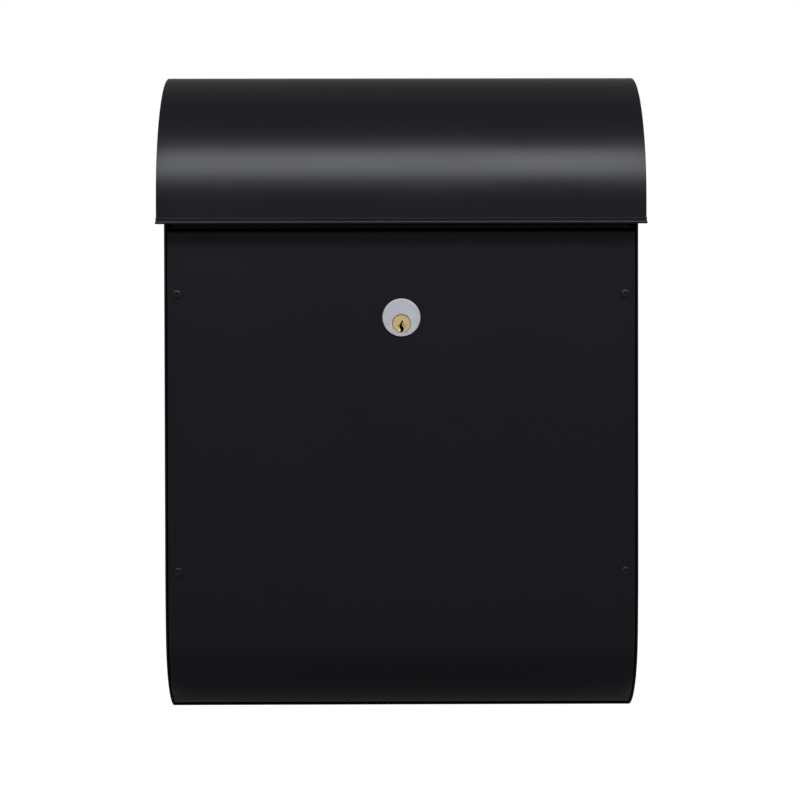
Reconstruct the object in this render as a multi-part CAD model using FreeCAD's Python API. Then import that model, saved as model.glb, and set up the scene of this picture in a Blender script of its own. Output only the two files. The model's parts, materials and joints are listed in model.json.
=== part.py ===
import FreeCAD, Part
import math
import os

# Wall mounted mailbox, in millimetres.
# X runs across the box, Y runs into the wall and Z runs up.
# The wall plane is Y = 0 and the box stands out towards -Y.
# The origin is the centre of the four wall screw holes, on the back face.

V = FreeCAD.Vector

# ---- sheet and overall sizes ----
SHEET = 1.0                 # back, bottom, inlet, rail, baffle, door and lid
SIDE_SHEET = 1.2            # side panels
BRACKET_SHEET = 1.2         # door brackets
BODY_WIDTH = 358.0          # over the side panels
BODY_DEPTH = 172.0          # wall to the front edge of the side panels
BODY_BOTTOM = -240.0        # lowest edge of the body
DOOR_TOP = 130.0            # top edge of the door

# ---- front curve of the body, from the straight front down to the toe ----
GENTLE_RADIUS = 475.0
GENTLE_ANGLE = math.radians(6.3)
TOE_RADIUS = 67.5
DOOR_END_ANGLE = math.radians(67.2)     # where the door stops on the toe

# ---- lid ----
CHEEK_GAP = 3.0             # side panel to lid cheek
LID_RADIUS = 106.0          # outside of the round top, from its front to its crest
LID_REAR_FALL = 38.23       # crest to hinge rod axis
LID_OVERHANG = 18.0         # lid front, out past the body front
LID_DROP = 17.2             # straight front below the round top
LID_LIP_ABOVE_DOOR = 3.2    # lip bottom over the door's top edge
LID_REAR_GAP = 2.0          # cheek to wall
CHEEK_FLANGE = 6.0          # cheek flange that backs the shell
RIM_HEIGHT = 4.5
RIM_STANDOFF = 0.7
GUARD_GAP = 4.0             # lid shell to the top edge of the side panels
BUMPER_GAP = 0.3

# ---- lid hinge ----
HINGE_ROD_RADIUS = 2.0
HINGE_CLEARANCE = 0.05
HINGE_WALL_DISTANCE = 6.5   # rod axis to the wall
HINGE_SPAN = 330.0
HINGE_COUNT = 7             # knuckles, the even ones on the lid
HINGE_END_GAP = 0.5
HINGE_SWING_GAP = 1.0
HINGE_WEB_HEIGHT = 12.5     # flat back panel stops this far below the rod axis
HINGE_ROD_STICK_OUT = 3.0

# ---- door ----
DOOR_SIDE_GAP = 0.8
DOOR_RECESS = 0.6           # door face behind the side panel edges
DOOR_FLANGE_DEPTH = 14.0
DOOR_LIP_HEIGHT = 8.0
DOOR_TOE_FLANGE = 6.0
BRACKET_WIDTH = 17.0
BRACKET_DEPTH = 13.0        # body front to the inner edge of the side flange
BRACKET_TOP_DROP = 14.0
RIVET_EDGE = 7.5            # rivet axis to the door's side edge
RIVET_TOP_DROP = 48.3       # upper rivets below the door's top edge
RIVET_PITCH = 209.9         # upper rivets down to the lower ones

# ---- door pivot and stop ----
PIVOT_INSET = 8.0           # pivot behind the door face at its lower edge
STUD_RADIUS = 2.5
STUD_CLEARANCE = 0.05
STUD_LENGTH = 6.0
WASHER_RADIUS = 5.0
WASHER_THICKNESS = 0.6
CLIP_RADIUS = 4.5
CLIP_THICKNESS = 0.8
CLIP_GROOVE_DEPTH = 0.5
DOOR_OPEN_ANGLE = math.radians(90.0)
TAIL_LENGTH = 13.0          # bracket tail past the pivot, along the toe
TAIL_HALF_WIDTH = 3.5
STOP_RADIUS = 2.0
STOP_REACH = 11.5           # stop stud axis to the pivot
STOP_MARGIN = math.radians(2.0)
TOE_SWING_GAP = 3.4         # swing of the door's lower edge to the bottom panel

# ---- lock ----
LOCK_FACE_RADIUS = 14.35
LOCK_FACE_THICKNESS = 1.6
LOCK_FACE_DROP = 66.1       # face centre below the door's top edge
LOCK_BODY_RADIUS = 13.0
LOCK_HOLE_CLEARANCE = 0.3
LOCK_LENGTH = 24.0          # door face to the housing's rear end
PLUG_RADIUS = 7.0
PLUG_DROP = 4.75            # plug axis below the face centre
PLUG_CLEARANCE = 0.05
PLUG_RECESS = 0.2
KEYWAY_UP = 2.6
KEYWAY_DOWN = 6.2
KEYWAY_WIDTH = 1.5
KEYWAY_DEPTH = 20.0
NUT_FLAT_RADIUS = 15.0
NUT_THICKNESS = 5.0
THREAD_CLEARANCE = 0.05
PIN_COUNT = 5
PIN_PITCH = 3.0
PIN_RADIUS = 1.15
PIN_CLEARANCE = 0.1
PIN_FIRST_BACK = 8.0        # first pin behind the door face
DRIVER_LENGTH = 3.0
SPRING_LENGTH = 4.7
SPRING_WIRE = 0.3
COVER_WIDTH = 5.0
COVER_THICKNESS = 1.5
CAM_THICKNESS = 2.0
CAM_WIDTH = 14.0
CAM_REACH = 42.0
TAIL_SQUARE = 7.0
CAM_FIT = 0.05
SCREW_HEAD_RADIUS = 4.0
SCREW_HEAD_HEIGHT = 2.5
SCREW_RADIUS = 1.5
SCREW_DEPTH = 8.0

# ---- top rail, strike and rubber ----
RAIL_GAP = 1.5              # door top to the rail
RAIL_FACE_HEIGHT = 14.0
RAIL_FACE_INSET = 5.3       # rail face stops short of the side panels
RAIL_LIP_DROP = 13.5
STRIKE_THICKNESS = 2.0
STRIKE_WIDTH = 40.0
STRIKE_OVERLAP = 13.0       # how far the locked cam reaches behind the strike
STRIKE_GAP = 1.5
DOOR_BUMPER_WIDTH = 12.0
DOOR_BUMPER_HEIGHT = 8.0
DOOR_BUMPER_X = 140.0

# ---- inlet, baffle, back and bottom ----
INLET_FLANGE = 10.0
SLOT_WIDTH = 330.0
SLOT_DEPTH = 40.0
SLOT_BACK = 82.0            # rear edge of the slot to the wall
BAFFLE_GAP = 8.0            # baffle fold in front of the slot
BAFFLE_FLANGE = 12.0
BAFFLE_RUN = 42.0
BAFFLE_FALL = 46.0
BAFFLE_WIDTH = 340.0
TRAY_FLANGE = 10.0
REAR_FLANGE = 12.0
WALL_HOLE_RADIUS = 3.25
WALL_HOLE_X = 240.0
WALL_HOLE_Z = 280.0
DRAIN_RADIUS = 3.0
DRAIN_X = 240.0
DRAIN_Y = 60.0
RIVET_HEAD_RADIUS = 3.4
RIVET_HEAD_HEIGHT = 1.2
RIVET_SHANK_RADIUS = 1.6
RIVET_BORE_RADIUS = 0.9

# ---- places worked out from the sizes ----
HALF_BODY = BODY_WIDTH / 2
INNER_X = HALF_BODY - SIDE_SHEET
HALF_DOOR = INNER_X - DOOR_SIDE_GAP
LID_WIDTH = BODY_WIDTH + 2 * (CHEEK_GAP + SHEET)
HALF_LID = LID_WIDTH / 2
FRONT_Y = -BODY_DEPTH
DOOR_Y = FRONT_Y + DOOR_RECESS
DOOR_BACK_Y = DOOR_Y + SHEET

GENTLE_Z = BODY_BOTTOM + TOE_RADIUS + (GENTLE_RADIUS - TOE_RADIUS) * math.sin(GENTLE_ANGLE)
GENTLE_Y = FRONT_Y + GENTLE_RADIUS
TOE_Y = GENTLE_Y - (GENTLE_RADIUS - TOE_RADIUS) * math.cos(GENTLE_ANGLE)
TOE_Z = BODY_BOTTOM + TOE_RADIUS

LID_BOTTOM = DOOR_TOP + LID_LIP_ABOVE_DOOR
LID_Z = LID_BOTTOM + LID_DROP
LID_FRONT_Y = FRONT_Y - LID_OVERHANG
LID_Y = LID_FRONT_Y + LID_RADIUS
LID_INNER_RADIUS = LID_RADIUS - SHEET
GUARD_RADIUS = LID_INNER_RADIUS - GUARD_GAP

KNUCKLE_BORE = HINGE_ROD_RADIUS + HINGE_CLEARANCE
KNUCKLE_RADIUS = KNUCKLE_BORE + SHEET
HINGE_Y = -HINGE_WALL_DISTANCE
HINGE_Z = LID_Z + LID_RADIUS - LID_REAR_FALL
REAR_REACH = HINGE_Y - LID_Y
REAR_RADIUS = (REAR_REACH ** 2 + LID_REAR_FALL ** 2 - KNUCKLE_RADIUS ** 2)
REAR_RADIUS = REAR_RADIUS / (2 * (LID_REAR_FALL - KNUCKLE_RADIUS))
REAR_Z = LID_Z + LID_RADIUS - REAR_RADIUS
HINGE_ANGLE = math.atan2(HINGE_Z - REAR_Z, LID_Y - HINGE_Y)
KNUCKLE_PITCH = HINGE_SPAN / HINGE_COUNT

PIVOT_FROM_TOE = TOE_RADIUS - DOOR_RECESS - PIVOT_INSET
PIVOT_Y = TOE_Y - PIVOT_FROM_TOE * math.cos(DOOR_END_ANGLE)
PIVOT_Z = TOE_Z - PIVOT_FROM_TOE * math.sin(DOOR_END_ANGLE)

LOCK_Z = DOOR_TOP - LOCK_FACE_DROP
PLUG_Z = LOCK_Z - PLUG_DROP
LOCK_FRONT_Y = DOOR_Y - LOCK_FACE_THICKNESS
LOCK_REAR_Y = DOOR_Y + LOCK_LENGTH
PLUG_REAR_Y = LOCK_REAR_Y + 2 * CAM_FIT
CAM_Y = PLUG_REAR_Y + 2 * CAM_FIT
STRIKE_Y = CAM_Y - STRIKE_GAP - STRIKE_THICKNESS
STRIKE_BOTTOM = PLUG_Z + CAM_REACH - STRIKE_OVERLAP
RAIL_BOTTOM = DOOR_TOP + RAIL_GAP
RAIL_TOP = RAIL_BOTTOM + RAIL_FACE_HEIGHT
SLOT_BACK_Y = -SLOT_BACK
SLOT_FRONT_Y = SLOT_BACK_Y - SLOT_DEPTH
BAFFLE_Y = SLOT_FRONT_Y - BAFFLE_GAP


def box(x0, x1, y0, y1, z0, z1):
    """Block between two corners."""
    return Part.makeBox(x1 - x0, y1 - y0, z1 - z0, V(x0, y0, z0))


def rod_x(radius, x0, x1, y, z):
    """Round bar along X."""
    return Part.makeCylinder(radius, x1 - x0, V(x0, y, z), V(1, 0, 0))


def rod_y(radius, y0, y1, x, z):
    """Round bar along Y."""
    return Part.makeCylinder(radius, y1 - y0, V(x, y0, z), V(0, 1, 0))


def rod_z(radius, z0, z1, x, y):
    """Round bar along Z."""
    return Part.makeCylinder(radius, z1 - z0, V(x, y, z0), V(0, 0, 1))


def line(a, b):
    """Straight edge between two (y, z) points, at X = 0."""
    return Part.LineSegment(V(0, *a), V(0, *b)).toShape()


def arc(centre, radius, start, end):
    """Arc at X = 0; angles run from the front, positive upwards."""
    points = []
    for angle in (start, (start + end) / 2, end):
        y = centre[0] - radius * math.cos(angle)
        z = centre[1] + radius * math.sin(angle)
        points.append(V(0, y, z))
    return Part.Arc(*points).toShape()


def extrude(edges, x0, x1):
    """Closed outline of (y, z) edges, carried from x0 to x1."""
    wire = Part.Wire(Part.__sortEdges__(edges))
    face = Part.Face(wire)
    face.translate(V(x0, 0, 0))
    return face.extrude(V(x1 - x0, 0, 0))


def plate(points, x0, x1):
    """Straight-sided outline of (y, z) points, carried from x0 to x1."""
    closed = points + points[:1]
    return extrude([line(a, b) for a, b in zip(closed, closed[1:])], x0, x1)


def toe_point(offset, angle):
    """Point on the toe, offset inwards; the angle runs down from the front."""
    radius = TOE_RADIUS - offset
    return (TOE_Y - radius * math.cos(angle), TOE_Z - radius * math.sin(angle))


def front_edges(offset, top, end_angle):
    """Front line of the body, offset inwards, from top down to an angle on the toe."""
    straight = line((FRONT_Y + offset, top), (FRONT_Y + offset, GENTLE_Z))
    gentle = arc((GENTLE_Y, GENTLE_Z), GENTLE_RADIUS - offset, 0, -GENTLE_ANGLE)
    toe = arc((TOE_Y, TOE_Z), TOE_RADIUS - offset, -GENTLE_ANGLE, -end_angle)
    return [straight, gentle, toe]


def front_strip(outer, inner, top, end_angle, x0, x1):
    """Curved strip between two offsets of the front line."""
    edges = front_edges(outer, top, end_angle) + front_edges(inner, top, end_angle)
    edges.append(line((FRONT_Y + outer, top), (FRONT_Y + inner, top)))
    edges.append(line(toe_point(outer, end_angle), toe_point(inner, end_angle)))
    return extrude(edges, x0, x1)


def ring_sector(centre, outer, inner, start, end, x0, x1):
    """Part of a ring, carried along X; angles run from the front, positive upwards."""
    edges = [arc(centre, outer, start, end), arc(centre, inner, start, end)]
    for angle in (start, end):
        ends = []
        for radius in (outer, inner):
            y = centre[0] - radius * math.cos(angle)
            z = centre[1] + radius * math.sin(angle)
            ends.append((y, z))
        edges.append(line(*ends))
    return extrude(edges, x0, x1)


def lid_edges(depth, start, end):
    """Line of the lid's round top, depth below its outside: a front arc, then a rear arc from the crest."""
    crest = math.pi / 2
    front = arc((LID_Y, LID_Z), LID_RADIUS - depth, start, crest)
    rear = arc((LID_Y, REAR_Z), REAR_RADIUS - depth, crest, end)
    return [front, rear]


def rear_point(depth, angle):
    """Point on the lid's rear arc, depth below its outside."""
    radius = REAR_RADIUS - depth
    return (LID_Y - radius * math.cos(angle), REAR_Z + radius * math.sin(angle))


def rear_angle(depth, y):
    """Angle at which the rear arc, depth below its outside, reaches a given Y."""
    return math.acos((LID_Y - y) / (REAR_RADIUS - depth))


def lid_strip(outer, inner, end, x0, x1):
    """Strip of the round top between two depths, from its front to an angle on the rear arc."""
    edges = lid_edges(outer, 0, end) + lid_edges(inner, 0, end)
    front_y = LID_Y - LID_RADIUS
    edges.append(line((front_y + outer, LID_Z), (front_y + inner, LID_Z)))
    edges.append(line(rear_point(outer, end), rear_point(inner, end)))
    return extrude(edges, x0, x1)


def mirrored(shape):
    """Copy on the other side of the middle plane."""
    return shape.mirror(V(0, 0, 0), V(1, 0, 0))


def both_sides(shape):
    """The piece and its mirror image, as separate solids."""
    return [shape, mirrored(shape)]


def dome(radius, height, x, y, z, direction):
    """Rivet head: a ball cap on a flat base at (x, y, z), bulging along direction."""
    ball = (radius ** 2 + height ** 2) / (2 * height)
    base = V(x, y, z)
    middle = base - direction * (ball - height)
    cap = Part.makeSphere(ball, middle)
    return cap.common(Part.makeCylinder(radius, height * 2, base, direction))


# ---- body ----
def knuckle_span(index):
    """Start and end of one hinge knuckle along X."""
    start = -HINGE_SPAN / 2 + index * KNUCKLE_PITCH
    return start + HINGE_END_GAP / 2, start + KNUCKLE_PITCH - HINGE_END_GAP / 2


def back_panel():
    """Flat back with wall screw holes and, on top, knuckles on short webs."""
    top = HINGE_Z - HINGE_WEB_HEIGHT
    panel = box(-HALF_BODY, HALF_BODY, -SHEET, 0, BODY_BOTTOM, top)
    middle_radius = KNUCKLE_BORE + SHEET / 2
    foot = (-SHEET / 2, top)
    reach = math.hypot(foot[0] - HINGE_Y, foot[1] - HINGE_Z)
    to_foot = math.atan2(foot[1] - HINGE_Z, foot[0] - HINGE_Y)
    touch = to_foot + math.acos(middle_radius / reach)
    normal = (math.cos(touch), math.sin(touch))
    touch_point = (HINGE_Y + middle_radius * normal[0], HINGE_Z + middle_radius * normal[1])
    half = SHEET / 2
    web_points = [
        (touch_point[0] + half * normal[0], touch_point[1] + half * normal[1]),
        (0, top),
        (-SHEET, top),
        (touch_point[0] - half * normal[0], touch_point[1] - half * normal[1]),
    ]
    for index in range(1, HINGE_COUNT, 2):
        x0, x1 = knuckle_span(index)
        panel = panel.fuse(plate(web_points, x0, x1))
        panel = panel.fuse(rod_x(KNUCKLE_RADIUS, x0, x1, HINGE_Y, HINGE_Z))
        panel = panel.cut(rod_x(KNUCKLE_BORE, x0 - 1, x1 + 1, HINGE_Y, HINGE_Z))
    for x in (-WALL_HOLE_X / 2, WALL_HOLE_X / 2):
        for z in (-WALL_HOLE_Z / 2, WALL_HOLE_Z / 2):
            panel = panel.cut(rod_y(WALL_HOLE_RADIUS, -2 * SHEET, SHEET, x, z))
    return panel.removeSplitter()


def side_panel():
    """Right side panel with the curved front, the rain guard on top and a rear flange."""
    rise = math.sqrt(GUARD_RADIUS ** 2 - (LID_Y - FRONT_Y) ** 2)
    guard_start = math.atan2(rise, LID_Y - FRONT_Y)
    guard_depth = SHEET + GUARD_GAP
    guard_end = rear_angle(guard_depth, -SHEET)
    guard_rear = rear_point(guard_depth, guard_end)
    edges = front_edges(0, LID_Z + rise, math.pi / 2)
    edges.append(line((TOE_Y, BODY_BOTTOM), (-SHEET, BODY_BOTTOM)))
    edges.append(line((-SHEET, BODY_BOTTOM), guard_rear))
    edges.extend(lid_edges(guard_depth, guard_start, guard_end))
    panel = extrude(edges, INNER_X, HALF_BODY)
    flange_bottom = BODY_BOTTOM + REAR_FLANGE + 2 * SHEET
    flange = box(INNER_X - REAR_FLANGE, INNER_X, -SHEET - SIDE_SHEET, -SHEET,
                 flange_bottom, RAIL_TOP - INLET_FLANGE - SHEET)
    return panel.fuse(flange).removeSplitter()


def bottom_panel():
    """Tray: flat bottom, front turned up along the toe, rear and side flanges, drain holes."""
    swing = PIVOT_INSET + TOE_SWING_GAP
    inner = TOE_RADIUS - SHEET
    cosine = (PIVOT_FROM_TOE ** 2 + inner ** 2 - swing ** 2) / (2 * PIVOT_FROM_TOE * inner)
    front_angle = DOOR_END_ANGLE + math.acos(cosine)
    tray = box(-INNER_X, INNER_X, TOE_Y, -SHEET, BODY_BOTTOM, BODY_BOTTOM + SHEET)
    tray = tray.fuse(ring_sector((TOE_Y, TOE_Z), TOE_RADIUS, inner, -front_angle, -math.pi / 2,
                                 -INNER_X, INNER_X))
    flange_top = BODY_BOTTOM + SHEET + TRAY_FLANGE
    tray = tray.fuse(box(-INNER_X, INNER_X, -2 * SHEET, -SHEET, BODY_BOTTOM, flange_top))
    for flange in both_sides(box(INNER_X - SHEET, INNER_X, TOE_Y, -SHEET, BODY_BOTTOM, flange_top)):
        tray = tray.fuse(flange)
    for x in (-DRAIN_X / 2, DRAIN_X / 2):
        for y in (TOE_Y + DRAIN_Y / 4, TOE_Y + DRAIN_Y * 5 / 4):
            tray = tray.cut(rod_z(DRAIN_RADIUS, BODY_BOTTOM - 1, BODY_BOTTOM + 2 * SHEET, x, y))
    return tray.removeSplitter()


def top_rail():
    """Rail over the door: narrow face, full-width ledge and a lip that the door closes on."""
    lip_front = STRIKE_Y - SHEET
    half_face = INNER_X - RAIL_FACE_INSET
    face = box(-half_face, half_face, DOOR_Y, DOOR_BACK_Y, RAIL_BOTTOM, RAIL_TOP)
    ledge = box(-half_face, half_face, DOOR_Y, STRIKE_Y, RAIL_BOTTOM, RAIL_BOTTOM + SHEET)
    tabs = box(-INNER_X, INNER_X, DOOR_Y + RAIL_FACE_INSET, STRIKE_Y,
               RAIL_BOTTOM, RAIL_BOTTOM + SHEET)
    lip = box(-half_face, half_face, lip_front, STRIKE_Y,
              RAIL_BOTTOM - RAIL_LIP_DROP, RAIL_BOTTOM + SHEET)
    rail = face.fuse([ledge, tabs, lip])
    for x, z in strike_rivet_places():
        rail = rail.cut(rod_y(RIVET_SHANK_RADIUS, lip_front - 1, STRIKE_Y + 1, x, z))
    return rail.removeSplitter()


def strike_rivet_places():
    """The strike's two rivets, on the middle of the rail lip."""
    z = RAIL_BOTTOM - RAIL_LIP_DROP / 2
    return [(-STRIKE_WIDTH / 4, z), (STRIKE_WIDTH / 4, z)]


def strike_plate():
    """Tongue that hangs from the rail; the cam turns up behind it."""
    tongue = box(-STRIKE_WIDTH / 2, STRIKE_WIDTH / 2, STRIKE_Y, STRIKE_Y + STRIKE_THICKNESS,
                 STRIKE_BOTTOM, RAIL_BOTTOM)
    for x, z in strike_rivet_places():
        tongue = tongue.cut(rod_y(RIVET_SHANK_RADIUS, STRIKE_Y - 1,
                                  STRIKE_Y + STRIKE_THICKNESS + 1, x, z))
    return tongue


def strike_rivets():
    """Two rivets with a dome on each side of the lip and tongue."""
    rivets = []
    front = STRIKE_Y - SHEET
    rear = STRIKE_Y + STRIKE_THICKNESS
    for x, z in strike_rivet_places():
        rivet = rod_y(RIVET_SHANK_RADIUS, front, rear, x, z)
        rivet = rivet.fuse(dome(RIVET_HEAD_RADIUS, RIVET_HEAD_HEIGHT, x, front, z, V(0, -1, 0)))
        rivet = rivet.fuse(dome(RIVET_HEAD_RADIUS, RIVET_HEAD_HEIGHT, x, rear, z, V(0, 1, 0)))
        rivets.append(rivet.removeSplitter())
    return rivets


def door_bumpers():
    """Rubber pads on the rail lip, just behind the closed door's lip."""
    front = DOOR_Y + DOOR_FLANGE_DEPTH + BUMPER_GAP
    top = DOOR_TOP - SHEET
    pad = box(DOOR_BUMPER_X, DOOR_BUMPER_X + DOOR_BUMPER_WIDTH, front, STRIKE_Y - SHEET,
              top - DOOR_BUMPER_HEIGHT, top)
    return both_sides(pad)


def inlet_plate():
    """Deck under the lid with the mail slot and two side flanges."""
    deck = box(-INNER_X, INNER_X, DOOR_Y, -SHEET, RAIL_TOP, RAIL_TOP + SHEET)
    deck = deck.cut(box(-SLOT_WIDTH / 2, SLOT_WIDTH / 2, SLOT_FRONT_Y, SLOT_BACK_Y,
                        RAIL_TOP - 1, RAIL_TOP + SHEET + 1))
    side = box(INNER_X - SHEET, INNER_X, SLOT_FRONT_Y, -SHEET, RAIL_TOP - INLET_FLANGE, RAIL_TOP)
    for flange in both_sides(side):
        deck = deck.fuse(flange)
    for x, y in baffle_rivet_places():
        deck = deck.cut(rod_z(RIVET_SHANK_RADIUS, RAIL_TOP - 1, RAIL_TOP + 2 * SHEET, x, y))
    return deck.removeSplitter()


def baffle_rivet_places():
    """Three rivets along the middle of the baffle's flange."""
    y = BAFFLE_Y - BAFFLE_FLANGE / 2
    return [(BAFFLE_WIDTH * share, y) for share in (-0.4, 0, 0.4)]


def mail_baffle():
    """Sloping plate under the slot, folded from a flange under the deck."""
    low_y = BAFFLE_Y + BAFFLE_RUN
    low_z = RAIL_TOP - BAFFLE_FALL
    length = math.hypot(BAFFLE_RUN, BAFFLE_FALL)
    across = (SHEET * BAFFLE_FALL / length, SHEET * BAFFLE_RUN / length)
    points = [
        (BAFFLE_Y - BAFFLE_FLANGE, RAIL_TOP),
        (BAFFLE_Y, RAIL_TOP),
        (low_y, low_z),
        (low_y - across[0], low_z - across[1]),
        (BAFFLE_Y - SHEET * BAFFLE_FALL / (length + BAFFLE_RUN), RAIL_TOP - SHEET),
        (BAFFLE_Y - BAFFLE_FLANGE, RAIL_TOP - SHEET),
    ]
    baffle = plate(points, -BAFFLE_WIDTH / 2, BAFFLE_WIDTH / 2)
    for x, y in baffle_rivet_places():
        baffle = baffle.cut(rod_z(RIVET_SHANK_RADIUS, RAIL_TOP - 2 * SHEET, RAIL_TOP + 1, x, y))
    return baffle


def baffle_rivets():
    """Rivets through the deck and the baffle flange."""
    rivets = []
    for x, y in baffle_rivet_places():
        rivet = rod_z(RIVET_SHANK_RADIUS, RAIL_TOP - SHEET, RAIL_TOP + SHEET, x, y)
        top = dome(RIVET_HEAD_RADIUS, RIVET_HEAD_HEIGHT, x, y, RAIL_TOP + SHEET, V(0, 0, 1))
        foot = dome(RIVET_HEAD_RADIUS, RIVET_HEAD_HEIGHT, x, y, RAIL_TOP - SHEET, V(0, 0, -1))
        rivets.append(rivet.fuse([top, foot]).removeSplitter())
    return rivets


def lid_hinge_rod():
    """Rod through every knuckle."""
    end = HINGE_SPAN / 2 + HINGE_ROD_STICK_OUT
    return rod_x(HINGE_ROD_RADIUS, -end, end, HINGE_Y, HINGE_Z)


def lid_bumpers():
    """Rubber saddles on the side panels' rain guards, just under the lid."""
    outer = LID_INNER_RADIUS - SHEET - BUMPER_GAP
    inner = GUARD_RADIUS - GUARD_GAP
    saddle = ring_sector((LID_Y, LID_Z), outer, inner, math.radians(62), math.radians(69),
                         INNER_X - 2 * SHEET, HALF_BODY + SHEET)
    return both_sides(saddle.cut(side_panel()))


# ---- door pivot ----
def door_pivot_studs():
    """Studs on the side panels' inner faces, each with a groove for its clip."""
    inner_end = INNER_X - STUD_LENGTH
    stud = rod_x(STUD_RADIUS, inner_end, INNER_X, PIVOT_Y, PIVOT_Z)
    clip_end = HALF_DOOR - BRACKET_SHEET - STUD_CLEARANCE
    groove = rod_x(STUD_RADIUS, clip_end - CLIP_THICKNESS, clip_end, PIVOT_Y, PIVOT_Z)
    core = rod_x(STUD_RADIUS - CLIP_GROOVE_DEPTH, inner_end, INNER_X, PIVOT_Y, PIVOT_Z)
    return both_sides(stud.cut(groove.cut(core)))


def door_pivot_clips():
    """Ring clips in the stud grooves."""
    clip_end = HALF_DOOR - BRACKET_SHEET - STUD_CLEARANCE
    start = clip_end - CLIP_THICKNESS
    clip = rod_x(CLIP_RADIUS, start, clip_end, PIVOT_Y, PIVOT_Z)
    clip = clip.cut(rod_x(STUD_RADIUS - CLIP_GROOVE_DEPTH, start - 1, clip_end + 1,
                          PIVOT_Y, PIVOT_Z))
    return both_sides(clip)


def door_pivot_washers():
    """Plain washers between the brackets and the side panels."""
    middle = (INNER_X + HALF_DOOR) / 2
    x0 = middle - WASHER_THICKNESS / 2
    x1 = middle + WASHER_THICKNESS / 2
    washer = rod_x(WASHER_RADIUS, x0, x1, PIVOT_Y, PIVOT_Z)
    washer = washer.cut(rod_x(STUD_RADIUS + STUD_CLEARANCE, x0 - 1, x1 + 1, PIVOT_Y, PIVOT_Z))
    return both_sides(washer)


def door_stop_studs():
    """Studs that the bracket tails meet when the door is fully open."""
    tail_turn = math.asin(TAIL_HALF_WIDTH / STOP_REACH) + math.asin(STOP_RADIUS / STOP_REACH)
    tail_bend = STOP_REACH / (2 * PIVOT_FROM_TOE)
    tail_direction = math.pi / 2 + DOOR_END_ANGLE + tail_bend
    direction = tail_direction + DOOR_OPEN_ANGLE + tail_turn + STOP_MARGIN
    y = PIVOT_Y - STOP_REACH * math.cos(direction)
    z = PIVOT_Z - STOP_REACH * math.sin(direction)
    inner_end = HALF_DOOR - 2 * BRACKET_SHEET
    return both_sides(rod_x(STOP_RADIUS, inner_end, INNER_X, y, z))


# ---- door ----
def rivet_places():
    """The four door rivets."""
    x = HALF_DOOR - RIVET_EDGE
    upper = DOOR_TOP - RIVET_TOP_DROP
    return [(side * x, z) for side in (-1, 1) for z in (upper, upper - RIVET_PITCH)]


def follow_front(shape, z):
    """Moves a shape made at height z on the straight front to the curve at that height."""
    if z >= GENTLE_Z:
        return shape
    centre_y, centre_z, radius = GENTLE_Y, GENTLE_Z, GENTLE_RADIUS
    if z < GENTLE_Z - GENTLE_RADIUS * math.sin(GENTLE_ANGLE):
        centre_y, centre_z, radius = TOE_Y, TOE_Z, TOE_RADIUS
    moved = shape.copy()
    moved.translate(V(0, centre_y - radius - FRONT_Y, centre_z - z))
    lean = math.degrees(math.asin((centre_z - z) / radius))
    moved.rotate(V(0, centre_y, centre_z), V(1, 0, 0), lean)
    return moved


def door_panel():
    """Curved door with a folded top, a toe flange, a lock hole and rivet holes."""
    panel = front_strip(DOOR_RECESS, DOOR_RECESS + SHEET, DOOR_TOP, DOOR_END_ANGLE,
                        -HALF_DOOR, HALF_DOOR)
    flange_end = DOOR_Y + DOOR_FLANGE_DEPTH
    top = box(-HALF_DOOR, HALF_DOOR, DOOR_Y, flange_end, DOOR_TOP - SHEET, DOOR_TOP)
    half_lip = HALF_DOOR - BRACKET_WIDTH - SHEET
    lip = box(-half_lip, half_lip, flange_end - SHEET, flange_end,
              DOOR_TOP - DOOR_LIP_HEIGHT, DOOR_TOP)
    thickness_angle = SHEET / TOE_RADIUS
    toe_outer = TOE_RADIUS - DOOR_RECESS - SHEET / 2
    toe = ring_sector((TOE_Y, TOE_Z), toe_outer, toe_outer - DOOR_TOE_FLANGE,
                      thickness_angle - DOOR_END_ANGLE, -DOOR_END_ANGLE, -half_lip, half_lip)
    panel = panel.fuse([top, lip, toe])
    panel = panel.cut(rod_y(LOCK_BODY_RADIUS + LOCK_HOLE_CLEARANCE, DOOR_Y - 1, DOOR_BACK_Y + 1,
                            0, LOCK_Z))
    for x, z in rivet_places():
        hole = rod_y(RIVET_SHANK_RADIUS, DOOR_Y - 1, DOOR_BACK_Y + 1, x, z)
        panel = panel.cut(follow_front(hole, z))
    return panel.removeSplitter()


def door_bracket():
    """Right bracket: a flange behind the door, a side flange with the pivot hole, and a tail."""
    top = DOOR_TOP - BRACKET_TOP_DROP
    outer = DOOR_RECESS + SHEET
    flat = front_strip(outer, outer + BRACKET_SHEET, top, DOOR_END_ANGLE,
                       HALF_DOOR - BRACKET_WIDTH, HALF_DOOR)
    side = front_strip(outer, BRACKET_DEPTH, top, DOOR_END_ANGLE,
                       HALF_DOOR - BRACKET_SHEET, HALF_DOOR)
    tail_angle = TAIL_LENGTH / PIVOT_FROM_TOE
    tail = ring_sector((TOE_Y, TOE_Z), PIVOT_FROM_TOE + TAIL_HALF_WIDTH,
                       PIVOT_FROM_TOE - TAIL_HALF_WIDTH, tail_angle / 2 - DOOR_END_ANGLE,
                       -DOOR_END_ANGLE - tail_angle, HALF_DOOR - BRACKET_SHEET, HALF_DOOR)
    bracket = flat.fuse([side, tail])
    bracket = bracket.cut(rod_x(STUD_RADIUS + STUD_CLEARANCE, HALF_DOOR - BRACKET_WIDTH - 1,
                                HALF_DOOR + 1, PIVOT_Y, PIVOT_Z))
    for x, z in rivet_places():
        hole = rod_y(RIVET_SHANK_RADIUS, DOOR_Y, DOOR_BACK_Y + 2 * BRACKET_SHEET, x, z)
        bracket = bracket.cut(follow_front(hole, z))
    return bracket.removeSplitter()


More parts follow.
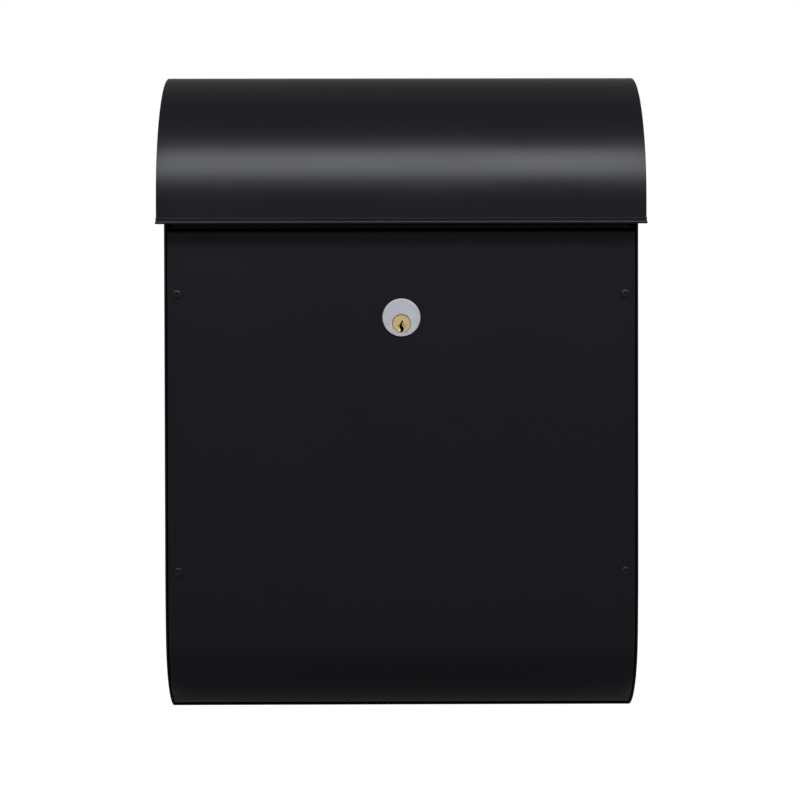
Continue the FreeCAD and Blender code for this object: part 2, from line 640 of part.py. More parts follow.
def door_rivets():
    """Blind rivets: dome outside, open bore, bulged end inside."""
    rivets = []
    rear = DOOR_BACK_Y + BRACKET_SHEET
    for x, z in rivet_places():
        rivet = rod_y(RIVET_SHANK_RADIUS, DOOR_Y, rear, x, z)
        head = dome(RIVET_HEAD_RADIUS, RIVET_HEAD_HEIGHT, x, DOOR_Y, z, V(0, -1, 0))
        bulb = dome(RIVET_HEAD_RADIUS - SHEET, RIVET_HEAD_HEIGHT * 2, x, rear, z, V(0, 1, 0))
        rivet = rivet.fuse([head, bulb]).removeSplitter()
        bore = rod_y(RIVET_BORE_RADIUS, DOOR_Y - 2 * RIVET_HEAD_HEIGHT, rear, x, z)
        rivets.append(follow_front(rivet.cut(bore), z))
    return rivets


# ---- lock ----
def pin_rows():
    """Y of each pin, front to back."""
    return [DOOR_Y + PIN_FIRST_BACK + index * PIN_PITCH for index in range(PIN_COUNT)]


DRIVER_BOTTOM = PLUG_Z + PLUG_RADIUS + PIN_CLEARANCE + PLUG_CLEARANCE
SPRING_BOTTOM = DRIVER_BOTTOM + DRIVER_LENGTH
COVER_BOTTOM = SPRING_BOTTOM + SPRING_LENGTH


def cover_ends():
    """Front and rear end of the chamber cover."""
    rows = pin_rows()
    return rows[0] - PIN_PITCH / 2, rows[-1] + PIN_PITCH / 2


def lock_housing():
    """Round face and threaded body with the plug bore and the pin chambers above it."""
    face = rod_y(LOCK_FACE_RADIUS, LOCK_FRONT_Y, DOOR_Y, 0, LOCK_Z)
    front_edge = [e for e in face.Edges if e.BoundBox.YMax < LOCK_FRONT_Y + 0.01]
    face = face.makeChamfer(LOCK_FACE_THICKNESS / 3, front_edge)
    housing = face.fuse(rod_y(LOCK_BODY_RADIUS, DOOR_Y, LOCK_REAR_Y, 0, LOCK_Z))
    housing = housing.cut(rod_y(PLUG_RADIUS + PLUG_CLEARANCE, LOCK_FRONT_Y - 1, LOCK_REAR_Y + 1,
                                0, PLUG_Z))
    for y in pin_rows():
        housing = housing.cut(rod_z(PIN_RADIUS + PIN_CLEARANCE, PLUG_Z, COVER_BOTTOM + 1, 0, y))
    y0, y1 = cover_ends()
    housing = housing.cut(box(-COVER_WIDTH / 2, COVER_WIDTH / 2, y0, y1,
                              COVER_BOTTOM, LOCK_Z + LOCK_BODY_RADIUS + 1))
    return housing.removeSplitter()


def lock_nut():
    """Hexagon nut behind the door."""
    corner = NUT_FLAT_RADIUS / math.cos(math.pi / 6)
    corners = []
    for index in range(7):
        angle = index * math.pi / 3
        corners.append(V(corner * math.cos(angle), DOOR_BACK_Y, LOCK_Z + corner * math.sin(angle)))
    nut = Part.Face(Part.makePolygon(corners)).extrude(V(0, NUT_THICKNESS, 0))
    return nut.cut(rod_y(LOCK_BODY_RADIUS + THREAD_CLEARANCE, DOOR_Y, DOOR_BACK_Y + 2 * NUT_THICKNESS,
                         0, LOCK_Z))


def driver_pins():
    """Pins above the plug."""
    return [rod_z(PIN_RADIUS, DRIVER_BOTTOM, SPRING_BOTTOM, 0, y) for y in pin_rows()]


def pin_springs():
    """Coil springs over the driver pins, each as a plain sleeve."""
    springs = []
    for y in pin_rows():
        sleeve = rod_z(PIN_RADIUS, SPRING_BOTTOM, COVER_BOTTOM, 0, y)
        springs.append(sleeve.cut(rod_z(PIN_RADIUS - SPRING_WIRE, SPRING_BOTTOM, COVER_BOTTOM, 0, y)))
    return springs


def chamber_cover():
    """Strip that closes the pin chambers."""
    y0, y1 = cover_ends()
    return box(-COVER_WIDTH / 2, COVER_WIDTH / 2, y0, y1, COVER_BOTTOM,
               COVER_BOTTOM + COVER_THICKNESS)


def lock_plug():
    """Brass plug with a stepped keyway, pin holes, a square tail and a screw hole."""
    front = LOCK_FRONT_Y + PLUG_RECESS
    plug = rod_y(PLUG_RADIUS, front, PLUG_REAR_Y, 0, PLUG_Z)
    half = TAIL_SQUARE / 2
    tail_end = CAM_Y + CAM_THICKNESS - CAM_FIT
    plug = plug.fuse(box(-half, half, PLUG_REAR_Y - 1, tail_end, PLUG_Z - half, PLUG_Z + half))
    step = KEYWAY_WIDTH / 2
    low = PLUG_Z - KEYWAY_DOWN
    high = PLUG_Z + KEYWAY_UP
    middle = (low + high) / 2
    lower_third = (low + middle) / 2
    back = front + KEYWAY_DEPTH
    for x, z0, z1 in ((0, low, lower_third), (-step, lower_third - step, middle),
                      (step, middle - step, high)):
        plug = plug.cut(box(x - step, x + step, front - 1, back, z0, z1))
    for y in pin_rows():
        plug = plug.cut(rod_z(PIN_RADIUS + PIN_CLEARANCE, PLUG_Z, PLUG_Z + PLUG_RADIUS + 1, 0, y))
    screw_hole = SCREW_RADIUS + THREAD_CLEARANCE
    plug = plug.cut(rod_y(screw_hole, tail_end - SCREW_DEPTH / 2, tail_end + 1, 0, PLUG_Z))
    return plug.removeSplitter()


def key_pins():
    """Pins in the plug, all level with its surface so that it can turn."""
    top = math.sqrt(PLUG_RADIUS ** 2 - PIN_RADIUS ** 2) - PLUG_CLEARANCE
    pins = []
    for index, y in enumerate(pin_rows()):
        bottom = KEYWAY_UP + PIN_CLEARANCE * (index % 3)
        pins.append(rod_z(PIN_RADIUS, PLUG_Z + bottom, PLUG_Z + top, 0, y))
    return pins


def lock_cam():
    """Cam on the plug's square tail, pointing to the left when the lock is open."""
    half = CAM_WIDTH / 2
    tip = half - CAM_REACH
    y1 = CAM_Y + CAM_THICKNESS
    cam = box(tip, 0, CAM_Y, y1, PLUG_Z - half, PLUG_Z + half)
    cam = cam.fuse([rod_y(half, CAM_Y, y1, tip, PLUG_Z), rod_y(half, CAM_Y, y1, 0, PLUG_Z)])
    square = TAIL_SQUARE / 2 + CAM_FIT
    cam = cam.cut(box(-square, square, CAM_Y - 1, y1 + 1, PLUG_Z - square, PLUG_Z + square))
    return cam.removeSplitter()


def cam_screw():
    """Screw that holds the cam on the plug."""
    cam_back = CAM_Y + CAM_THICKNESS
    shank = rod_y(SCREW_RADIUS, cam_back - SCREW_DEPTH / 2, cam_back + 1, 0, PLUG_Z)
    head = rod_y(SCREW_HEAD_RADIUS, cam_back + CAM_FIT, cam_back + SCREW_HEAD_HEIGHT, 0, PLUG_Z)
    slot = box(-SCREW_HEAD_RADIUS, SCREW_HEAD_RADIUS, cam_back + SCREW_HEAD_HEIGHT / 2,
               cam_back + 2 * SCREW_HEAD_HEIGHT, PLUG_Z - CAM_FIT * 8, PLUG_Z + CAM_FIT * 8)
    return shank.fuse(head).cut(slot).removeSplitter()


# ---- lid ----
def lid_shell():
    """Round top with a straight front and knuckles rolled on its rear edge."""
    front = box(-HALF_LID, HALF_LID, LID_FRONT_Y, LID_FRONT_Y + SHEET, LID_BOTTOM, LID_Z)
    roof = lid_strip(0, SHEET, HINGE_ANGLE, -HALF_LID, HALF_LID)
    roof = roof.cut(rod_x(KNUCKLE_RADIUS + HINGE_SWING_GAP, -HALF_LID - 1, HALF_LID + 1,
                          HINGE_Y, HINGE_Z))
    shell = front.fuse(roof)
    lead = (KNUCKLE_RADIUS + 2 * HINGE_SWING_GAP) / REAR_RADIUS
    for index in range(0, HINGE_COUNT, 2):
        x0, x1 = knuckle_span(index)
        leaf = ring_sector((LID_Y, REAR_Z), REAR_RADIUS, REAR_RADIUS - SHEET,
                           HINGE_ANGLE - lead, HINGE_ANGLE, x0, x1)
        shell = shell.fuse([leaf, rod_x(KNUCKLE_RADIUS, x0, x1, HINGE_Y, HINGE_Z)])
        shell = shell.cut(rod_x(KNUCKLE_BORE, x0 - 1, x1 + 1, HINGE_Y, HINGE_Z))
    return shell.removeSplitter()


def lid_cheek():
    """Right end of the lid, with a flange that backs the shell."""
    rear_y = -LID_REAR_GAP
    end = rear_angle(SHEET, rear_y)
    front_y = LID_FRONT_Y + SHEET
    edges = lid_edges(SHEET, 0, end)
    edges.append(line((front_y, LID_BOTTOM), (front_y, LID_Z)))
    edges.append(line(rear_point(SHEET, end), (rear_y, LID_BOTTOM)))
    edges.append(line((rear_y, LID_BOTTOM), (front_y, LID_BOTTOM)))
    cheek = extrude(edges, HALF_LID - SHEET, HALF_LID)
    lead = (KNUCKLE_RADIUS + 2 * HINGE_SWING_GAP) / REAR_RADIUS
    flange = lid_strip(SHEET, 2 * SHEET, HINGE_ANGLE - 2 * lead,
                       HALF_LID - CHEEK_FLANGE - SHEET, HALF_LID)
    return cheek.fuse(flange).removeSplitter()


def lid_rim():
    """Folded edge that stands proud round the front and both cheeks."""
    half = HALF_LID + RIM_STANDOFF
    top = LID_BOTTOM + RIM_HEIGHT
    outer = box(-half, half, LID_FRONT_Y - RIM_STANDOFF, -LID_REAR_GAP, LID_BOTTOM, top)
    return outer.cut(box(-HALF_LID, HALF_LID, LID_FRONT_Y, 0, LID_BOTTOM - 1, top + 1))


NODES = {
    "back_panel": back_panel(),
    "side_panel_right": side_panel(),
    "side_panel_left": mirrored(side_panel()),
    "bottom_panel": bottom_panel(),
    "top_rail": top_rail(),
    "strike_plate": strike_plate(),
    "strike_rivets": strike_rivets(),
    "inlet_plate": inlet_plate(),
    "mail_baffle": mail_baffle(),
    "baffle_rivets": baffle_rivets(),
    "lid_hinge_rod": lid_hinge_rod(),
    "lid_bumpers": lid_bumpers(),
    "door_bumpers": door_bumpers(),
    "door_pivot_studs": door_pivot_studs(),
    "door_pivot_clips": door_pivot_clips(),
    "door_pivot_washers": door_pivot_washers(),
    "door_stop_studs": door_stop_studs(),
    "door_panel": door_panel(),
    "door_bracket_right": door_bracket(),
    "door_bracket_left": mirrored(door_bracket()),
    "door_rivets": door_rivets(),
    "lock_housing": lock_housing(),
    "lock_nut": lock_nut(),
    "driver_pins": driver_pins(),
    "pin_springs": pin_springs(),
    "chamber_cover": chamber_cover(),
    "lock_plug": lock_plug(),
    "key_pins": key_pins(),
    "lock_cam": lock_cam(),
    "cam_screw": cam_screw(),
    "lid_shell": lid_shell(),
    "lid_cheek_right": lid_cheek(),
    "lid_cheek_left": mirrored(lid_cheek()),
    "lid_rim": lid_rim(),
}

os.makedirs("parts", exist_ok=True)
for name, made in NODES.items():
    shape = Part.makeCompound(made) if isinstance(made, list) else made
    if not shape.isValid():
        raise ValueError(name + " is not a valid solid")
    shape.exportStep("parts/" + name + ".step")
    print(name, "solids", len(shape.Solids), "volume", round(shape.Volume, 1))

print("lid hinge axis y, z", round(HINGE_Y, 4), round(HINGE_Z, 4))
print("door pivot axis y, z", round(PIVOT_Y, 4), round(PIVOT_Z, 4))
print("lock plug axis z", round(PLUG_Z, 4))
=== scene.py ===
import json
import math

import bpy
import numpy as np
from bpy.props import FloatProperty, FloatVectorProperty, PointerProperty
from mathutils import Matrix, Vector


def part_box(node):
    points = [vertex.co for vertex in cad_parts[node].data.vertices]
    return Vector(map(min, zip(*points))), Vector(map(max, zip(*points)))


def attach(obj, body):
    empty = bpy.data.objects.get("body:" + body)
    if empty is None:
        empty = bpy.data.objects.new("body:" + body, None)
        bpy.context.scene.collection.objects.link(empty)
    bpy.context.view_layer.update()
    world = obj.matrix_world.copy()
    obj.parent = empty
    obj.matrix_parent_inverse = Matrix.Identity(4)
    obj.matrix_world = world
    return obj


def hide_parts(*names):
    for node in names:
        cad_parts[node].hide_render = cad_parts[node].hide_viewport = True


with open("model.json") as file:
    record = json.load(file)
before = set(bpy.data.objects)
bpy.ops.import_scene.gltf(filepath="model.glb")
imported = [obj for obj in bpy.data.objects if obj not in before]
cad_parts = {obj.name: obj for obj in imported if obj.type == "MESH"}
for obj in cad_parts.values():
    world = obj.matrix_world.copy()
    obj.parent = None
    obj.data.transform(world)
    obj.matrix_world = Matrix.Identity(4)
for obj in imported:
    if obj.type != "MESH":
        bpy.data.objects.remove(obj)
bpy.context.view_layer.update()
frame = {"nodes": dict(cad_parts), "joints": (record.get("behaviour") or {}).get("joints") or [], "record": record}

bl_info = {
    "name": "Wall Mailbox",
    "version": (1, 0, 0),
    "blender": (4, 5, 0),
    "location": "View3D > Sidebar > Mailbox",
    "description": "Finishes the sheet-steel wall mailbox and sets up its studio",
    "category": "Object",
}

# All lengths are in metres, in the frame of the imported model.
MM = 0.001
JOINTS = {joint["name"]: joint for joint in frame["joints"]}

# ---- sheet and edges ----
SHEET = 1.0 * MM
EDGE_STEPS = 5              # rows that round off a cut edge

# ---- lid: two arcs that meet at the crest ----
LID_LOW, LID_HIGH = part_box("lid_shell")
LID_RADIUS = 106.0 * MM
LID_DROP = 17.2 * MM
LID_BOTTOM = LID_LOW.z
LID_Z = LID_BOTTOM + LID_DROP
LID_Y = LID_LOW.y + LID_RADIUS
HALF_LID = LID_HIGH.x
HINGE_Y, HINGE_Z = JOINTS["lid_hinge"]["pos_m"][1:]
ROD_RADIUS = 2.0 * MM
KNUCKLE_BORE = 2.05 * MM
KNUCKLE_RADIUS = KNUCKLE_BORE + SHEET
HINGE_SPAN = 330.0 * MM
HINGE_COUNT = 7
HINGE_END_GAP = 0.5 * MM
HINGE_LEAD = 5.05 * MM      # the shell proper stops this far before the rod
REAR_REACH = HINGE_Y - LID_Y
REAR_FALL = LID_Z + LID_RADIUS - HINGE_Z
REAR_RADIUS = (REAR_REACH ** 2 + REAR_FALL ** 2 - KNUCKLE_RADIUS ** 2) / (
    2 * (REAR_FALL - KNUCKLE_RADIUS))
REAR_Z = LID_Z + LID_RADIUS - REAR_RADIUS
HINGE_ANGLE = math.atan2(HINGE_Z - REAR_Z, LID_Y - HINGE_Y)
RIM_LOW, RIM_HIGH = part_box("lid_rim")
CHEEK_RISE = 16.0 * MM      # climb of the cheeks' lower edges towards the rear

# ---- door: straight front, gentle arc and toe ----
DOOR_LOW, DOOR_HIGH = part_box("door_panel")
DOOR_Y = DOOR_LOW.y
DOOR_TOP = DOOR_HIGH.z
HALF_DOOR = DOOR_HIGH.x
BODY_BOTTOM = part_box("bottom_panel")[0].z
DOOR_RECESS = 0.6 * MM
GENTLE_RADIUS = 475.0 * MM
GENTLE_ANGLE = math.radians(6.3)
TOE_RADIUS = 67.5 * MM
DOOR_END_ANGLE = math.radians(67.2)
DOOR_FLANGE = 14.0 * MM
DOOR_LIP = 8.0 * MM
DOOR_LIP_INSET = 18.0 * MM
DOOR_TOE_FLANGE = 6.0 * MM
FOLD_RADIUS = 1.5 * MM
FRONT_Y = DOOR_Y - DOOR_RECESS
RADIUS_DIFFERENCE = GENTLE_RADIUS - TOE_RADIUS
GENTLE_Y = FRONT_Y + GENTLE_RADIUS
GENTLE_Z = BODY_BOTTOM + TOE_RADIUS + RADIUS_DIFFERENCE * math.sin(GENTLE_ANGLE)
TOE_Y = GENTLE_Y - RADIUS_DIFFERENCE * math.cos(GENTLE_ANGLE)
TOE_Z = BODY_BOTTOM + TOE_RADIUS

# ---- rivets ----
RIVET_LOW, RIVET_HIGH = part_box("door_rivets")
RIVET_RADIUS = 3.4 * MM
RIVET_HEIGHT = 1.2 * MM
RIVET_SHANK = 1.6 * MM
RIVET_BORE = 1.2 * MM
RIVET_BULB = 2.4 * MM

# ---- lock ----
FACE_LOW, FACE_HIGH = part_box("lock_housing")
PLUG_LOW, PLUG_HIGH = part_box("lock_plug")
FACE_RADIUS = FACE_HIGH.x
FACE_Z = (FACE_LOW.z + FACE_HIGH.z) / 2
PLUG_RADIUS = PLUG_HIGH.x
PLUG_Z = JOINTS["lock_turn"]["pos_m"][2]
LOCK_BODY_RADIUS = 13.0 * MM
PLUG_BORE = PLUG_RADIUS + 0.05 * MM
TAIL_SQUARE = 7.0 * MM
TAIL_LENGTH = 2.0 * MM
KEYWAY_UP = 2.6 * MM
KEYWAY_DOWN = 6.2 * MM
KEYWAY_HALF_WIDTH = 0.8 * MM
KEYWAY_FOOT_WIDTH = 1.45 * MM
KEYWAY_SWAY = 0.55 * MM
KEYWAY_DEPTH = 14.0 * MM
DIMPLE_RADIUS = 3.0 * MM
DIMPLE_DEPTH = 0.2 * MM
PLUG_CHAMFER = 0.5 * MM
PLUG_CHAMFER_DEPTH = 0.9 * MM
SPRING_WIRE = 0.14 * MM
SPRING_TURNS = 6.5


class MailboxFinish(bpy.types.PropertyGroup):
    """Colours and roughness of the finishes."""

    coat_colour: FloatVectorProperty(
        name="Coat colour", description="Black powder coat", subtype="COLOR",
        default=(0.0050, 0.0040, 0.0070), min=0, max=1)
    coat_roughness: FloatProperty(
        name="Coat roughness", description="Gloss of the powder coat", subtype="FACTOR",
        default=0.28, min=0, max=1)
    silver_colour: FloatVectorProperty(
        name="Lock face colour", description="Satin chrome of the lock face", subtype="COLOR",
        default=(0.74, 0.745, 0.755), min=0, max=1)
    brass_colour: FloatVectorProperty(
        name="Brass colour", description="Machined brass of the plug", subtype="COLOR",
        default=(1.0, 0.77, 0.38), min=0, max=1)
    zinc_colour: FloatVectorProperty(
        name="Zinc colour", description="Plated steel inside the box", subtype="COLOR",
        default=(0.52, 0.53, 0.55), min=0, max=1)


class MailboxStudio(bpy.types.PropertyGroup):
    """Camera and lamps."""

    lens: FloatProperty(
        name="Lens", description="Focal length in millimetres on a 36 mm sensor",
        default=86.94, min=10)
    camera_place: FloatVectorProperty(
        name="Camera place", description="Where the camera stands", subtype="TRANSLATION",
        unit="LENGTH", default=(-0.01065, -1.6318, 0.02084))
    camera_turn: FloatProperty(
        name="Camera turn", description="Turn to the right", subtype="ANGLE", unit="ROTATION",
        default=math.radians(0.370))
    camera_tilt: FloatProperty(
        name="Camera tilt", description="Tilt upwards", subtype="ANGLE", unit="ROTATION",
        default=math.radians(-0.755))
    camera_roll: FloatProperty(
        name="Camera roll", description="Roll of the horizon", subtype="ANGLE", unit="ROTATION",
        default=math.radians(0.124))
    key_power: FloatProperty(
        name="Key lamps", description="Power of the two long soft lamps in front", unit="POWER",
        default=27.5, min=0)
    lamp_colour: FloatVectorProperty(
        name="Lamp colour", description="Cool white of the lamps", subtype="COLOR",
        default=(0.89, 0.92, 1.0), min=0, max=1)
    low_power: FloatProperty(
        name="Low lamps", description="Power of each lamp low at the sides", unit="POWER",
        default=0.28, min=0)
    plain_level: FloatProperty(
        name="Plain level", description="Strength of the even light from all round",
        default=0.24, min=0)
    front_level: FloatProperty(
        name="Front level", description="How bright the dim front half of the studio looks",
        default=0.16, min=0)
    # painted shadow: the floor close to the box glows only this dimly in reflections, standing in for the shade
    # beneath the box
    under_level: FloatProperty(
        name="Under level", description="How bright the floor close to the box looks in gloss",
        default=0.05, min=0)


# ---- mesh making ----
def quad_faces(rows, columns, wrap_rows=False, wrap_columns=False):
    """Quads between neighbouring grid points, as an array of four indices each."""
    down = np.arange(rows if wrap_rows else rows - 1)
    along = np.arange(columns if wrap_columns else columns - 1)
    row, column = np.meshgrid(down, along, indexing="ij")
    next_row, next_column = (row + 1) % rows, (column + 1) % columns
    corners = [row * columns + column, row * columns + next_column,
               next_row * columns + next_column, next_row * columns + column]
    return np.stack(corners, axis=-1).reshape(-1, 4)


def new_piece(name, parts, body, replaced=(), smooth=True):
    """One object out of several (points, faces) grids, with doubles merged and faces outwards."""
    points, faces, start = [], [], 0
    for part_points, part_faces in parts:
        flat = np.asarray(part_points, float).reshape(-1, 3)
        points.append(flat)
        faces.append(part_faces + start)
        start += len(flat)
    points, faces = np.concatenate(points), np.concatenate(faces)
    mesh = bpy.data.meshes.new(name)
    mesh.from_pydata(points.tolist(), [], faces.tolist())
    clean_mesh(mesh)
    mesh.polygons.foreach_set("use_smooth", np.full(len(mesh.polygons), smooth))
    mesh.set_sharp_from_angle(angle=math.radians(35))
    piece = bpy.data.objects.new(name, mesh)
    bpy.context.scene.collection.objects.link(piece)
    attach(piece, body)
    if replaced:
        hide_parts(*replaced)
    return piece


def clean_mesh(mesh):
    """Merges doubles, drops faces without area and turns every face outwards."""
    import bmesh
    work = bmesh.new()
    work.from_mesh(mesh)
    bmesh.ops.remove_doubles(work, verts=work.verts, dist=1e-7)
    bmesh.ops.dissolve_degenerate(work, edges=work.edges, dist=1e-8)
    bmesh.ops.recalc_face_normals(work, faces=work.faces)
    work.to_mesh(mesh)
    work.free()


def edge_stations(start, end, inner_count, radius):
    """Stations from start to end, crowded at both ends, and how thick the sheet is at each.
    Within one radius of an end the thickness falls to nothing along a quarter circle."""
    angle = np.linspace(0, math.pi / 2, EDGE_STEPS)
    inset = radius * (1 - np.cos(angle))
    share = np.sin(angle)
    inner = np.linspace(start + radius, end - radius, inner_count + 2)[1:-1]
    places = np.concatenate([start + inset, inner, end - inset[::-1]])
    thickness = np.concatenate([share, np.ones(inner_count), share[::-1]])
    return places, thickness


def rounded_sheet(line, x0, x1, thickness=SHEET, columns=24, rows=None):
    """Bent sheet with rounded cut edges: a (y, z) middle line, carried along X.
    Each point is the line plus or minus its normal times half the thickness, and
    that half thickness falls to nothing along a quarter circle at every free edge."""
    line = np.asarray(line, float)
    step = np.linalg.norm(np.diff(line, axis=0), axis=1)
    length = np.concatenate([[0], np.cumsum(step)])
    count = rows or len(line)
    places, along_share = edge_stations(0, length[-1], count, thickness / 2)
    y = np.interp(places, length, line[:, 0])
    z = np.interp(places, length, line[:, 1])
    slope_y, slope_z = np.gradient(y, places), np.gradient(z, places)
    size = np.hypot(slope_y, slope_z)
    normal_y, normal_z = slope_z / size, -slope_y / size
    x, across_share = edge_stations(x0, x1, columns, thickness / 2)
    half = thickness / 2 * np.outer(along_share, across_share)
    faces = quad_faces(len(places), len(x))
    sides = []
    for sign in (1, -1):
        grid = np.empty((len(places), len(x), 3))
        grid[..., 0] = x[None, :]
        grid[..., 1] = y[:, None] + sign * half * normal_y[:, None]
        grid[..., 2] = z[:, None] + sign * half * normal_z[:, None]
        sides.append((grid, faces if sign > 0 else faces[:, ::-1]))
    return sides


def arc_line(centre, radius, start, end, count):
    """Points on an arc; angles run from the front, positive upwards."""
    angle = np.linspace(start, end, count)
    return np.stack([centre[0] - radius * np.cos(angle), centre[1] + radius * np.sin(angle)], 1)


def straight_line(start, end, count):
    """Evenly spaced points on a straight line."""
    return np.linspace(start, end, count)


def join_lines(*lines):
    """Lines end to end, with each shared point kept once."""
    kept = [lines[0]] + [line[1:] for line in lines[1:]]
    return np.concatenate(kept)


def turned(profile, centre, segments=64):
    """Profile of (radius, y) rows turned about an axis along Y through centre (x, z)."""
    profile = np.asarray(profile, float)
    angle = np.linspace(0, 2 * math.pi, segments, endpoint=False)
    grid = np.empty((len(profile), segments, 3))
    grid[..., 0] = centre[0] + profile[:, :1] * np.sin(angle)
    grid[..., 1] = profile[:, 1:]
    grid[..., 2] = centre[1] + profile[:, :1] * np.cos(angle)
    return grid, quad_faces(len(profile), segments, wrap_columns=True)


# ---- materials ----
def node_material(name):
    """Empty node material with its shader; returns the tree and the shader."""
    material = bpy.data.materials.new(name)
    material.use_nodes = True
    tree = material.node_tree
    return material, tree, tree.nodes["Principled BSDF"]


def noise(tree, scale, detail, roughness=0.5, stretch=(1, 1, 1)):
    """Noise on object coordinates, stretched per axis."""
    place = tree.nodes.new("ShaderNodeTexCoord")
    mapping = tree.nodes.new("ShaderNodeMapping")
    mapping.inputs["Scale"].default_value = stretch
    texture = tree.nodes.new("ShaderNodeTexNoise")
    texture.inputs["Scale"].default_value = scale
    texture.inputs["Detail"].default_value = detail
    texture.inputs["Roughness"].default_value = roughness
    tree.links.new(place.outputs["Object"], mapping.inputs["Vector"])
    tree.links.new(mapping.outputs["Vector"], texture.inputs["Vector"])
    return texture.outputs["Fac"]


def spread(tree, source, low, high):
    """Maps the middle of a noise onto low to high."""
    remap = tree.nodes.new("ShaderNodeMapRange")
    remap.inputs["From Min"].default_value = 0.3
    remap.inputs["From Max"].default_value = 0.7
    remap.inputs["To Min"].default_value = low
    remap.inputs["To Max"].default_value = high
    tree.links.new(source, remap.inputs["Value"])
    return remap.outputs["Result"]


def colour_blend(tree, source, first, second):
    """Blend of two colours, steered by a noise."""
    mix = tree.nodes.new("ShaderNodeMix")
    mix.data_type = "RGBA"
    mix.inputs["A"].default_value = (*first, 1)
    mix.inputs["B"].default_value = (*second, 1)
    tree.links.new(source, mix.inputs["Factor"])
    return mix.outputs["Result"]


def bumps(tree, shader, heights):
    """Chains (height, strength, distance) bumps into the shader's normal."""
    last = None
    for height, strength, distance in heights:
        bump = tree.nodes.new("ShaderNodeBump")
        bump.inputs["Strength"].default_value = strength
        bump.inputs["Distance"].default_value = distance
        tree.links.new(height, bump.inputs["Height"])
        if last:
            tree.links.new(last, bump.inputs["Normal"])
        last = bump.outputs["Normal"]
    tree.links.new(last, shader.inputs["Normal"])


def scaled(colour, factor):
    """The colour, lighter or darker."""
    return tuple(min(1.0, channel * factor) for channel in colour)


def powder_coat(finish):
    """Black powder coat: fine grain, a faint orange peel and slow changes in gloss."""
    material, tree, shader = node_material("powder_coat")
    grain = noise(tree, 2600, 2)
    peel = noise(tree, 420, 3)
    cloud = noise(tree, 9, 3)
    colour = colour_blend(tree, spread(tree, grain, 0, 1), scaled(finish.coat_colour, 0.86),
                          scaled(finish.coat_colour, 1.16))
    tree.links.new(colour, shader.inputs["Base Color"])
    rough = finish.coat_roughness
    tree.links.new(spread(tree, cloud, rough - 0.015, rough + 0.02), shader.inputs["Roughness"])
    bumps(tree, shader, [(grain, 0.25, 0.00002), (peel, 0.12, 0.00004)])
    shader.inputs["Specular IOR Level"].default_value = 0.5
    return material


def rivet_paint(finish):
    """The coat on the rivets: a little smoother and greyer, with rubbed high spots."""
    material, tree, shader = node_material("rivet_paint")
    rub = noise(tree, 900, 4)
    colour = colour_blend(tree, spread(tree, rub, 0, 1), scaled(finish.coat_colour, 0.9),
                          scaled(finish.coat_colour, 1.9))
    tree.links.new(colour, shader.inputs["Base Color"])
    tree.links.new(spread(tree, rub, 0.30, 0.38), shader.inputs["Roughness"])
    bumps(tree, shader, [(rub, 0.15, 0.00003)])
    return material


def brushed_metal(name, colour, roughness, scale, stretch):
    """Metal with fine lines along one axis and slow tone changes."""
    material, tree, shader = node_material(name)
    lines = noise(tree, scale, 4, 0.6, stretch)
    tone = noise(tree, 160, 3)
    blended = colour_blend(tree, spread(tree, tone, 0, 1), scaled(colour, 0.93),
                           scaled(colour, 1.05))
    tree.links.new(blended, shader.inputs["Base Color"])
    shader.inputs["Metallic"].default_value = 1.0
    tree.links.new(spread(tree, lines, roughness - 0.06, roughness + 0.06),
                   shader.inputs["Roughness"])
    bumps(tree, shader, [(lines, 0.08, 0.00001)])
    return material


def plain_soft(name, colour, roughness, grain_scale):
    """Rubber, nylon or the painted shade in bores: matt, lightly mottled and faintly grained."""
    material, tree, shader = node_material(name)
    grain = noise(tree, grain_scale, 4)
    blended = colour_blend(tree, spread(tree, grain, 0, 1), scaled(colour, 0.85),
                           scaled(colour, 1.15))
    tree.links.new(blended, shader.inputs["Base Color"])
    tree.links.new(spread(tree, grain, roughness - 0.05, roughness + 0.05),
                   shader.inputs["Roughness"])
    bumps(tree, shader, [(grain, 0.2, 0.00004)])
    return material


FINISHES = {}


def make_finishes():
    """Makes each finish once."""
    if FINISHES:
        return FINISHES
    finish = bpy.context.scene.mailbox_finish
    FINISHES["black_coat"] = powder_coat(finish)
    FINISHES["black_rivet"] = rivet_paint(finish)
    FINISHES["zinc_steel"] = brushed_metal("zinc_plate", finish.zinc_colour, 0.36, 900, (1, 1, 1))
    FINISHES["satin_chrome"] = brushed_metal("satin_chrome", finish.silver_colour, 0.66,
                                             2200, (0.05, 1, 1))
    FINISHES["brass"] = brushed_metal("turned_brass", finish.brass_colour, 0.50, 1500, (1, 1, 0.2))
    FINISHES["rubber"] = plain_soft("black_rubber", (0.018, 0.018, 0.018), 0.75, 1200)
    FINISHES["nylon"] = plain_soft("white_nylon", (0.62, 0.62, 0.58), 0.5, 900)
    return FINISHES


def paint(piece, slot):
    """Gives a piece its one finish."""
    piece.data.materials.clear()
    piece.data.materials.append(make_finishes()[slot])


def paint_nodes(names):
    """Finishes carried-over nodes, each by the slot that the record gives it."""
    slots = {row["node"]: row["material_slot"] for row in frame["record"]["subparts"]}
    for name in names:
        paint(frame["nodes"][name], slots[name])


class MAILBOX_OT_housing(bpy.types.Operator):
    """Finish the fixed sheet-metal pieces"""

    bl_idname = "mailbox.housing"
    bl_label = "Housing"

    def execute(self, context):
        paint_nodes(["back_panel", "side_panel_right", "side_panel_left", "bottom_panel",
                     "top_rail", "inlet_plate", "mail_baffle", "strike_plate",
                     "strike_rivets", "baffle_rivets"])
        return {"FINISHED"}


class MAILBOX_OT_lid(bpy.types.Operator):
    """Make the lid shell with its rolled knuckles, and its two cheeks"""

    bl_idname = "mailbox.lid"
    bl_label = "Lid"

    def execute(self, context):
        paint(lid_shell(), "black_coat")
        for side in ("right", "left"):
            paint(lid_cheek(side), "black_coat")
        return {"FINISHED"}


